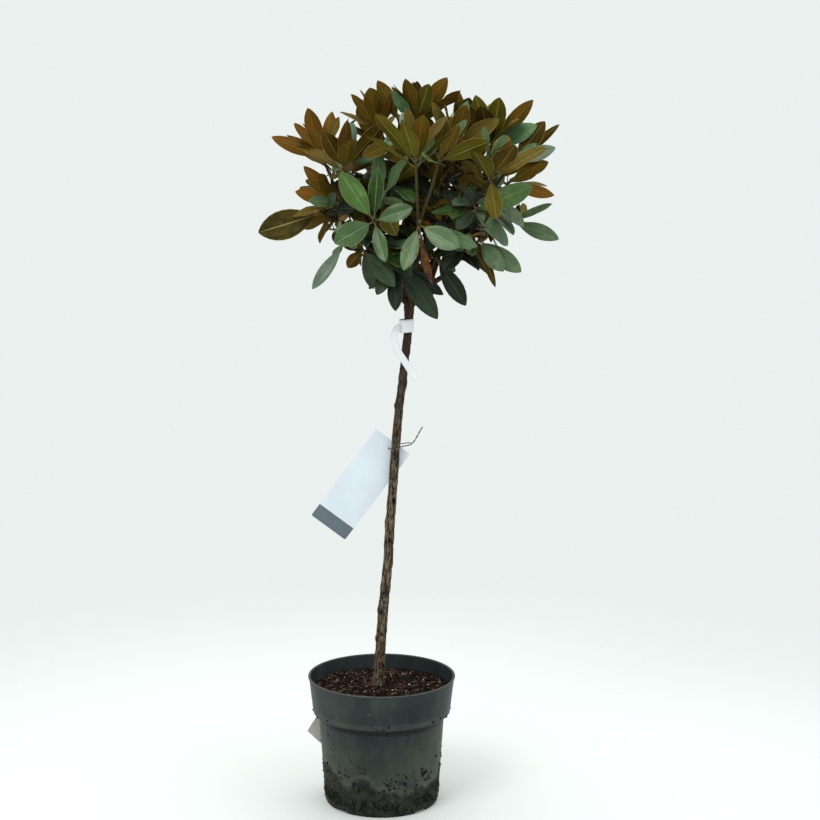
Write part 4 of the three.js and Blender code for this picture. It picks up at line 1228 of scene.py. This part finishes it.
def add_bud(batch, shoot, size):
    """A pointed bud with overlapping scales at a shoot's tip."""
    row = [shoot.tip + shoot.axis * (size * step) for step in BUD.steps]
    radii = [size * share for share in BUD.radii]

    def relief(ring, angle, _):
        return BUD.scale_height * cos(BUD.scales * angle + ring * 1.9), 0.5
    points, faces, _ = tube(row, radii, BUD.sides, relief)
    batch.add(points, faces, "bud")


# ---------------------------------------------------------------- bark

KNOTS = (
    # height, bearing in degrees, radius of the knot, how far it stands out
    (562, 300, 4.5, -3.6), (562, 300, 8, 2.0), (520, 205, 10, 2.0), (356, 182, 7, 2.2), (303, 180, 7, 2.2),
    (773, 350, 7, 1.8), (732, 185, 7, 2.0), (640, 100, 8, 1.6), (446, 60, 9, 1.5), (690, 250, 7, 1.0),
    (838, 120, 7, 1.4), (402, 330, 8, 1.1), (255, 20, 9, 1.6), (905, 250, 9, 1.6),
)


def wave(x, y, z):
    """A smooth random height between -1 and 1 at a place."""
    return noise.noise(Vector((x, y, z)))


def bark_height(x, y, z, coarse):
    """Height of the bark from 0 to 1: long plates parted by wandering furrows, with splits and flakes."""
    wander = 0.8 * wave(x / 8, y / 8, z / 22)
    place = Vector((x / coarse + wander, y / coarse - wander, z / (coarse * 7.0)))
    furrows = min(abs(noise.noise(place + Vector((3.1, 7.7, 1.3)))) * 2.3, 1)
    splits = min(abs(noise.noise(place * 2.2 + Vector((8.2, 1.9, 6.4)))) * 3.0, 1)
    flakes = noise.noise(Vector((x / 2.6, y / 2.6, z / 9.0)) + Vector((9.4, 2.2, 5.5)))
    cracks = wave(x / 1.2, y / 1.2, z / 4.0)
    return min(max(0.08 + 0.46 * furrows + 0.26 * splits + 0.30 * flakes + 0.16 * cracks, 0), 1)


def add_trunk(batch):
    foot = TRUNK.foot + 2
    row = [trunk_point(foot + (TRUNK.tip - foot) * i / TRUNK.steps) for i in range(TRUNK.steps + 1)]
    radii = [trunk_radius(point.z) for point in row]

    def relief(ring, angle, middle):
        radius = radii[ring]
        x, y = radius * cos(angle), radius * sin(angle)
        height = bark_height(x, y, middle.z, TRUNK.bark_width)
        bulge = 0.55 * wave(x / 16, y / 16, middle.z / 30)
        fluting = TRUNK.flute_depth * exp(-(middle.z - SOIL.top) / TRUNK.flute_height)
        fluting *= cos(TRUNK.flutes * angle + 0.8)
        hollow = 0.0
        for z, bearing, size, out in KNOTS:
            rise = abs(middle.z - z)
            if rise > size * 3:
                continue
            # A ring's angles count from +Y.
            turn = (angle + 1.5 * pi - radians(bearing)) % tau - pi
            near = exp(-((rise / size) ** 2) - (turn * radius / size) ** 2)
            bulge += out * near
            hollow = max(hollow, near if out < 0 else 0)
        return (height - 0.5) * TRUNK.bark_depth + bulge + fluting, height * (1 - hollow)
    points, faces, heights = tube(row, radii, TRUNK.sides, relief)
    batch.add(points, faces, "trunk_bark", relief=heights)


def add_bough(batch, row):
    """A bough with bark, swollen where it leaves the stem."""
    shares = [i / (len(row) - 1) for i in range(len(row))]
    narrowing = BOUGH.tip_radius - BOUGH.foot_radius
    radii = [BOUGH.foot_radius + narrowing * share + BOUGH.swell * exp(-share * 9) for share in shares]

    def relief(ring, angle, middle):
        x, y = radii[ring] * cos(angle), radii[ring] * sin(angle)
        height = bark_height(x + middle.x, y + middle.y, middle.z * 0.7, BOUGH.bark_width)
        return (height - 0.5) * BOUGH.bark_depth, height
    points, faces, heights = tube(row, radii, BOUGH.sides, relief)
    batch.add(points, faces, "bough_bark", relief=heights)


def add_twig(batch, row, foot_radius, tip_radius, sides, wood="twig_bark"):
    """A twig with the low rings of old leaf scars."""
    total = len(row) - 1
    scars = [TWIG.scars * sin(i * 1.7) ** 4 for i in range(total + 1)]
    radii = [foot_radius + (tip_radius - foot_radius) * i / total + scar for i, scar in enumerate(scars)]

    def relief(ring, angle, middle):
        return 0.25 * noise.noise(middle / 5 + Vector((cos(angle), sin(angle), 0))), 0.5
    points, faces, _ = tube(row, radii, sides, relief)
    batch.add(points, faces, wood)


def denser(row, times):
    """The same row of points with each span divided."""
    return [a.lerp(b, k / times) for a, b in zip(row, row[1:]) for k in range(times)] + [row[-1]]


def make_plant():
    """The stem, the boughs, the twigs with their buds, and the leaves of each mass."""
    room = []
    boughs, stems, twigs = grow_limbs(room)
    leaves, side_twigs = grow_leaves(twigs, room)
    masses = [f"foliage_{name}" for name in MASSES]
    trunk, bark, wood, buds = Batch(), Batch(), Batch(), Batch()
    add_trunk(trunk)
    trunk.piece("trunk_bark", "bark", ("trunk",))
    for bough in boughs:
        beyond = bough.row[-1] + (bough.row[-1] - bough.row[-2])
        add_bough(bark, denser([*bough.row, beyond], 4))
    bark.piece("boughs_bark", "bark", [f"bough_{bough.name}" for bough in boughs])
    for stem in stems:
        add_twig(wood, denser(stem.row, 8), STEM.radius + STEM.collar, STEM.radius, STEM.sides)
    for twig in twigs:
        add_twig(wood, denser(twig.points, 3), TWIG.foot_radius, TWIG.tip_radius, TWIG.sides, twig.shoot.wood)
        add_bud(buds, twig, TWIG.bud)
    for side in side_twigs:
        add_twig(wood, denser(side.points, 3), SIDE_TWIG.foot_radius, SIDE_TWIG.tip_radius, SIDE_TWIG.sides)
        add_bud(buds, side, SIDE_TWIG.bud)
    wood.piece("twigs", "bark", masses)
    buds.piece("buds", "foliage", masses)
    for name, own in leaves.items():
        batch = Batch()
        for leaf in own:
            add_leaf(batch, leaf)
        batch.piece(f"leaves_{name}", "foliage", (f"foliage_{name}",))


# ---------------------------------------------------------------- pot and potting mix


def make_pot():
    """The pot: a tapered body, a wide rim band with a narrow lip, and a foot ring with four notches."""
    wall, floor, height = POT.wall, POT.floor, POT.height
    body, band = POT.body_top_radius, POT.band_radius
    under_lip = POT.rim_radius - POT.lip_reach
    profile = [
        (0.5, 0), (POT.pad_radius, 0), (POT.pad_radius + POT.recess, POT.recess),
        (POT.ring_radius - POT.recess, POT.recess), (POT.ring_radius, 0), (POT.foot_radius, 0),
        (POT.body_foot_radius, POT.body_foot), (body, POT.body_top),
        ((body + band) / 2, POT.body_top + POT.shoulder), (band, POT.band_foot),
        (under_lip, height - POT.lip), (POT.rim_radius, height - POT.lip), (POT.rim_radius, height),
        (under_lip - wall, height), (band - wall, POT.band_foot + wall), (body - wall, POT.body_top + wall),
        (POT.body_foot_radius - wall, floor + POT.floor_corner),
        (POT.body_foot_radius - wall - POT.floor_corner, floor), (0.5, floor),
    ]

    def notches(radius, height, angles):
        reach = np.abs((np.degrees(angles) - NOTCH.first_angle + 45) % (360 / NOTCH.count) - 45)
        offset = np.radians(reach) * POT.foot_radius
        depth = NOTCH.height * np.clip((NOTCH.width / 2 - offset) / NOTCH.slope + 0.5, 0, 1)
        near_foot = (radius > POT.pad_radius + NOTCH.off_pad) & (height < depth)
        return radius, np.where(near_foot, depth, height)
    points, faces = turned([tuple(point) for point in rounded(profile, POT.rounding)], POT.sides, notches)
    Batch().add(points, faces, "pot").piece("nursery_pot", "pot_plastic", ("pot",))


def pot_outer_radius(height):
    """Outer radius of the pot's body and band at a height."""
    heights = (0, POT.body_foot, POT.body_top, POT.band_foot, POT.height - POT.lip)
    radii = (
        POT.foot_radius, POT.body_foot_radius, POT.body_top_radius, POT.band_radius,
        POT.rim_radius - POT.lip_reach,
    )
    return float(np.interp(height, heights, radii))


def pot_inner_radius(height):
    """Inner radius of the rim band at a height."""
    foot = POT.band_foot + POT.wall
    share = (height - foot) / (POT.height - foot)
    widening = POT.rim_radius - POT.lip_reach - POT.band_radius
    return POT.band_radius + widening * share - POT.wall


def soil_height(radius, angle):
    """Height of the mix: a low mound round the stem, with lumps and a dip along the wall."""
    edge = pot_inner_radius(SOIL.edge)
    outward = min(max((radius - SOIL.flat_radius) / (edge - SOIL.flat_radius), 0), 1)
    slope = SOIL.top + (SOIL.edge - SOIL.top) * outward
    x, y = radius * cos(angle), radius * sin(angle)
    lumps = 2.4 * wave(x / 21, y / 21, 0.4) + 1.5 * wave(x / 7, y / 7, 4.1)
    return slope + lumps + 0.9 * wave(x / 2.6, y / 2.6, 8.7) - 0.6


def make_soil():
    """The mix in the pot, its sides and underside just inside the wall and the floor."""
    edge = pot_inner_radius(SOIL.edge) - 0.4
    profile = [
        (0.3, POT.floor + 1), (POT.body_foot_radius - 8, POT.floor + 1),
        (POT.body_top_radius - 4, POT.body_top + 3), (POT.band_radius - 4, POT.band_foot + 6),
        (edge, SOIL.edge - 4),
    ]
    sunk = len(profile)
    radii = [edge * (1 - i / SOIL.rings) ** 0.8 for i in range(SOIL.rings)]
    profile += [(radius, SOIL.top) for radius in radii] + [(0.3, SOIL.top)]

    def lumpy(radius, height, angles):
        for row in range(sunk, len(radius)):
            for column, angle in enumerate(angles):
                height[row, column] = soil_height(radius[row, column], angle)
        return radius, height
    points, faces = turned(profile, SOIL.sides, lumpy)
    Batch().add(points, faces, "soil").piece("potting_mix", "potting_mix", ("potting_soil",))


CHIPS = Record(
    count=2700, seed=31, edge_margin=4, stem_margin=12, least_size=0.8, more_size=3.0, fibres=0.13,
    fibre_limit=1.6,
)
CHIP_KINDS = (("chip_dark", 0.54), ("chip_red", 0.29), ("chip_tan", 0.13), ("chip_pale", 0.04))
CHIP_LIMITS = dict(chip_pale=1.3, chip_tan=1.5)
# Crumbs of mix that stick to the pot's wall: how many, the heights that they keep to, and the largest size.
WALL_CRUMBS = (
    Record(count=210, middle=62, dip=16, spread=10, size=3.2),
    Record(count=1500, middle=12, dip=14, spread=9, size=2.6),
    Record(count=90, middle=104, dip=10, spread=26, size=1.8),
    Record(count=80, middle=173, dip=0, spread=3, size=2.8),
)
CRUMB_HEIGHTS = (8, 222)
BLOCK = np.array([(x, y, z) for z in (-1, 1) for y in (-1, 1) for x in (-1, 1)], float)
BLOCK_FACES = [[0, 2, 3, 1], [4, 5, 7, 6], [0, 1, 5, 4], [2, 6, 7, 3], [0, 4, 6, 2], [1, 3, 7, 5]]


def make_chips():
    """Bark chips, crumbs and fibres strewn over the mix, as jittered blocks lying at all angles."""
    random = np.random.default_rng(CHIPS.seed)
    batch = Batch()
    kinds, shares = zip(*CHIP_KINDS)
    edge = pot_inner_radius(SOIL.edge) - CHIPS.edge_margin
    for _ in range(CHIPS.count):
        radius = sqrt(random.uniform((CHIPS.stem_margin / edge) ** 2, 1)) * edge
        angle = random.uniform(0, tau)
        size = CHIPS.least_size + CHIPS.more_size * random.random() ** 3
        kind = random.choice(kinds, p=shares)
        if kind in CHIP_LIMITS:
            size = min(size, CHIP_LIMITS[kind])
        along, across, thick = random.uniform(0.9, 1.7), random.uniform(0.5, 0.9), random.uniform(0.25, 0.55)
        if random.random() < CHIPS.fibres:
            size = min(size, CHIPS.fibre_limit)
            along, across, thick = random.uniform(3.0, 5.5), 0.28, 0.24
        block = BLOCK * (size * along, size * across, size * thick)
        block = block * random.uniform(0.72, 1.15, block.shape)
        turn = Matrix.Rotation(random.uniform(0, tau), 3, "Z")
        tilt = Matrix.Rotation(random.normal(0, 0.5), 3, "X")
        tilt = tilt @ Matrix.Rotation(random.normal(0, 0.16), 3, "Y")
        block = block @ np.array(turn @ tilt).T
        lift = size * random.uniform(0.05, 0.4)
        block += (radius * cos(angle), radius * sin(angle), soil_height(radius, angle) + lift)
        batch.add(block, BLOCK_FACES, kind)
    batch.piece("bark_chips", "potting_mix", smooth=False)


def make_wall_crumbs():
    """Dried crumbs of mix stuck to the pot's wall, in a sagging line round the body and along its foot."""
    random = np.random.default_rng(CHIPS.seed + 1)
    batch = Batch()
    for patch in WALL_CRUMBS:
        placed = 0
        while placed < patch.count:
            bearing = random.uniform(0, tau)
            sag = patch.dip * sin(1.5 * (bearing + pi / 2)) ** 2
            height = patch.middle + sag + random.normal(0, patch.spread)
            clump = wave(3 * cos(bearing), 3 * sin(bearing), height / 16 + patch.middle)
            if not CRUMB_HEIGHTS[0] <= height <= CRUMB_HEIGHTS[1] or clump + random.uniform(-0.3, 0.3) < 0:
                continue
            size = 0.6 + (patch.size - 0.6) * random.random() ** 2
            block = BLOCK * (size * 0.35, size * random.uniform(0.5, 1), size * random.uniform(0.5, 1))
            block = block * random.uniform(0.6, 1.2, block.shape)
            turn = Matrix.Rotation(bearing, 3, "Z") @ Matrix.Rotation(random.uniform(0, pi), 3, "X")
            block = block @ np.array(turn).T
            radius = pot_outer_radius(height) + size * 0.2
            block += (radius * cos(bearing), radius * sin(bearing), height)
            batch.add(block, BLOCK_FACES, "mud_dark" if random.random() < 0.75 else "mud_crumb")
            placed += 1
    batch.piece("wall_crumbs", "potting_mix", smooth=False)


# ---------------------------------------------------------------- card, wire and label


def card_place(along, across, lift):
    """A place on the card: along its length from the top, across it, and lifted off its front."""
    tilt = radians(180 + CARD.tilt)
    x = CARD.left + along * cos(tilt) + across * cos(tilt + pi / 2)
    z = CARD.top + along * sin(tilt) + across * sin(tilt + pi / 2)
    return Vector((x, CARD.front + CARD.thickness / 2 - lift, z))


def make_card():
    """A thin hang card, a little bowed, with a plain grey band along its foot."""
    length, width, corner = CARD.length, CARD.width, CARD.corner
    batch = Batch()
    columns = CARD.columns
    corner_steps = [corner * (1 - cos(k * pi / 8)) for k in range(5)]
    stations = sorted({
        0, length, length - CARD.band, CARD.hole_inset, *corner_steps,
        *(length - step for step in corner_steps), *(CARD.spacing * i for i in range(1, 24)),
    })

    def inset(along):
        near = min(along, length - along)
        return 0 if near >= corner else corner - sqrt(max(corner**2 - (corner - near) ** 2, 0))
    for sign in (1, -1):
        points = []
        for along in stations:
            for column in range(columns + 1):
                across = inset(along) + (width - 2 * inset(along)) * column / columns
                bow = CARD.bow * sin(pi * along / length) * (1 - (2 * across / width - 1) ** 2)
                points.append(card_place(along, across, bow + sign * CARD.half_sheet))
        faces = grid_faces(len(stations), columns + 1, False)
        kinds = ["card"] * len(faces)
        if sign > 0:
            faces = [face[::-1] for face in faces]
            on_band = [stations[i // columns] >= length - CARD.band for i in range(len(faces))]
            kinds = ["card_band" if banded else "card" for banded in on_band]
        batch.add(points, faces, kinds)
    batch.piece("hang_card_face", "card", ("hang_card",))


def make_pot_label():
    """A blank plate of stiff card that leans on the back of the pot, with one corner out beside it."""
    length, width, corner = POT_LABEL.length, POT_LABEL.width, POT_LABEL.corner
    taper = atan2(POT.body_top_radius - POT.body_foot_radius, POT.body_top - POT.body_foot)
    place = (
        Matrix.Rotation(radians(POT_LABEL.bearing), 4, "Z")
        @ Matrix.Translation(Vector((pot_outer_radius(POT_LABEL.height), 0, POT_LABEL.height)))
        @ Matrix.Rotation(taper, 4, "Y")
        @ Matrix.Translation(Vector((GAP + POT_LABEL.thickness / 2, POT_LABEL.along, 0)))
        @ Matrix.Rotation(radians(POT_LABEL.turn), 4, "X")
    )
    outline = []
    for quarter, (side, end) in enumerate(((1, 1), (-1, 1), (-1, -1), (1, -1))):
        for step in range(7):
            angle = radians(90 * quarter + 15 * step)
            outline.append((
                side * (length / 2 - corner) + corner * cos(angle),
                end * (width / 2 - corner) + corner * sin(angle),
            ))
    points = []
    for lift in (-0.5, 0.5):
        points += [place @ Vector((lift * POT_LABEL.thickness, along, across)) for along, across in outline]
    faces = [face[::-1] for face in closed_faces(2, len(outline))]
    Batch().add(points, faces, "old_card").piece("pot_label_plate", "card", ("pot_label",), smooth=False)


def make_wire():
    """The card's wire: one strand through the card and round the stem, its end twisted back and hooked."""
    row = smooth_row([Vector(point) for point in WIRE_LINE], WIRE.steps)
    batch = Batch()
    for phase in (0, pi):
        strand = []
        for i, (middle, side, third, _) in enumerate(rings(row)):
            angle = phase + tau * WIRE.turns * min(i / WIRE.twisted_steps, 1)
            apart = WIRE.strand * WIRE.apart
            strand.append(middle + side * (apart * cos(angle)) + third * (apart * sin(angle)))
        points, faces, _ = tube(strand, [WIRE.strand] * len(strand), WIRE.sides)
        batch.add(points, faces, "wire")
    batch.piece("twisted_wire", "wire", ("card_wire",))


RIBBON_SECTION = [(side / 2, -1) for side in range(-2, 3)] + [(side / 2, 1) for side in range(2, -3, -1)]


def ribbon(row, width, direction, thickness, cup=0.0):
    """A strip along a row of points, hollowed by cup. Its width is given for a share of its length."""
    points = []
    for i, (middle, _, _, heading) in enumerate(rings(row)):
        share = i / (len(row) - 1)
        across = (direction - heading * direction.dot(heading)).normalized()
        outward = heading.cross(across)
        half = width(share) / 2
        for a, b in RIBBON_SECTION:
            points.append(middle + across * (a * half) + outward * (b * thickness / 2 + cup * (a * a - 0.5)))
    return points, closed_faces(len(row), len(RIBBON_SECTION))


def make_label():
    """A film label: a band round the stem, and its long tail in a loop that crosses in front of the stem."""
    middle = trunk_point(LABEL.middle) + Vector((LABEL.offset, 0, 0))
    batch = Batch()
    loop = []
    radius = LABEL.radius + LABEL.gap
    for k in range(LABEL.steps + 1):
        angle = radians(360 * k / LABEL.steps - 30)
        loop.append(middle + Vector((radius * cos(angle), radius * sin(angle), LABEL.slant * cos(angle))))
    points, faces = ribbon(loop, lambda share: LABEL.height, UP, LABEL.thickness)
    batch.add(points, faces, "label")
    row = smooth_row([Vector(point) for point in LABEL_TAIL], LABEL.steps)

    def width(share):
        rounded_end = sqrt(max(1 - max((share - 0.93) / 0.07, 0) ** 2, 0.01))
        return LABEL.tail_width * min(rounded_end, 0.45 + share * 9)
    points, faces = ribbon(row, width, Vector((1, -0.15, 0.55)), LABEL.thickness, LABEL.cup)
    batch.add(points, faces, "label")
    batch.piece("stem_label_film", "label_film", ("stem_label",))


# ---------------------------------------------------------------- floor and light

WALL = (0.825, 0.875, 0.855)
FLOOR_FADE = (0.55, 1.7)
# Name, place and size in metres, and power in watts.
LIGHTS = (
    ("key", (-1.3, -1.9, 2.9), 1.4, 38),
    ("fill", (1.9, -1.3, 1.8), 1.6, 8),
    ("top", (0.2, 0.5, 3.1), 1.8, 26),
)


def make_stage():
    """A pale floor that fades into the background with distance, and soft light from above."""
    mesh = bpy.data.meshes.new("floor")
    mesh.from_pydata([(x, y, 0) for x, y in ((-30, -30), (30, -30), (30, 30), (-30, 30))], [], [(0, 1, 2, 3)])
    floor = bpy.data.objects.new("floor", mesh)
    bpy.context.scene.collection.objects.link(floor)
    finish = Finish("floor", 0.85, Base_Color=(0.80, 0.82, 0.81, 1))
    away = finish.value("VectorMath", {0: finish.place()}, "Value", operation="LENGTH")
    away = finish.between(away, *FLOOR_FADE)
    glow = finish.value("Emission", {"Color": (*WALL, 1), "Strength": 1.0})
    blend = finish.value("MixShader", {0: away, 1: Value(finish, finish.shader.outputs[0]), 2: glow})
    finish.feed(finish.tree.nodes["Material Output"].inputs["Surface"], blend)
    mesh.materials.append(finish.material)
    world = bpy.data.worlds.new("studio")
    world.use_nodes = True
    world.node_tree.nodes["Background"].inputs["Color"].default_value = (*WALL, 1)
    world.node_tree.nodes["Background"].inputs["Strength"].default_value = 1.0
    bpy.context.scene.world = world
    for name, place, size, power in LIGHTS:
        light = bpy.data.lights.new(name, "AREA")
        light.energy = power
        light.size = size
        lamp = bpy.data.objects.new(name, light)
        lamp.location = place
        lamp.rotation_euler = (Vector((0.05, 0, 0.9)) - Vector(place)).to_track_quat("-Z", "Y").to_euler()
        bpy.context.scene.collection.objects.link(lamp)
    bpy.context.scene.view_settings.view_transform = "Standard"


make_pot()
make_soil()
make_chips()
make_wall_crumbs()
make_plant()
make_card()
make_wire()
make_label()
make_pot_label()
make_stage()
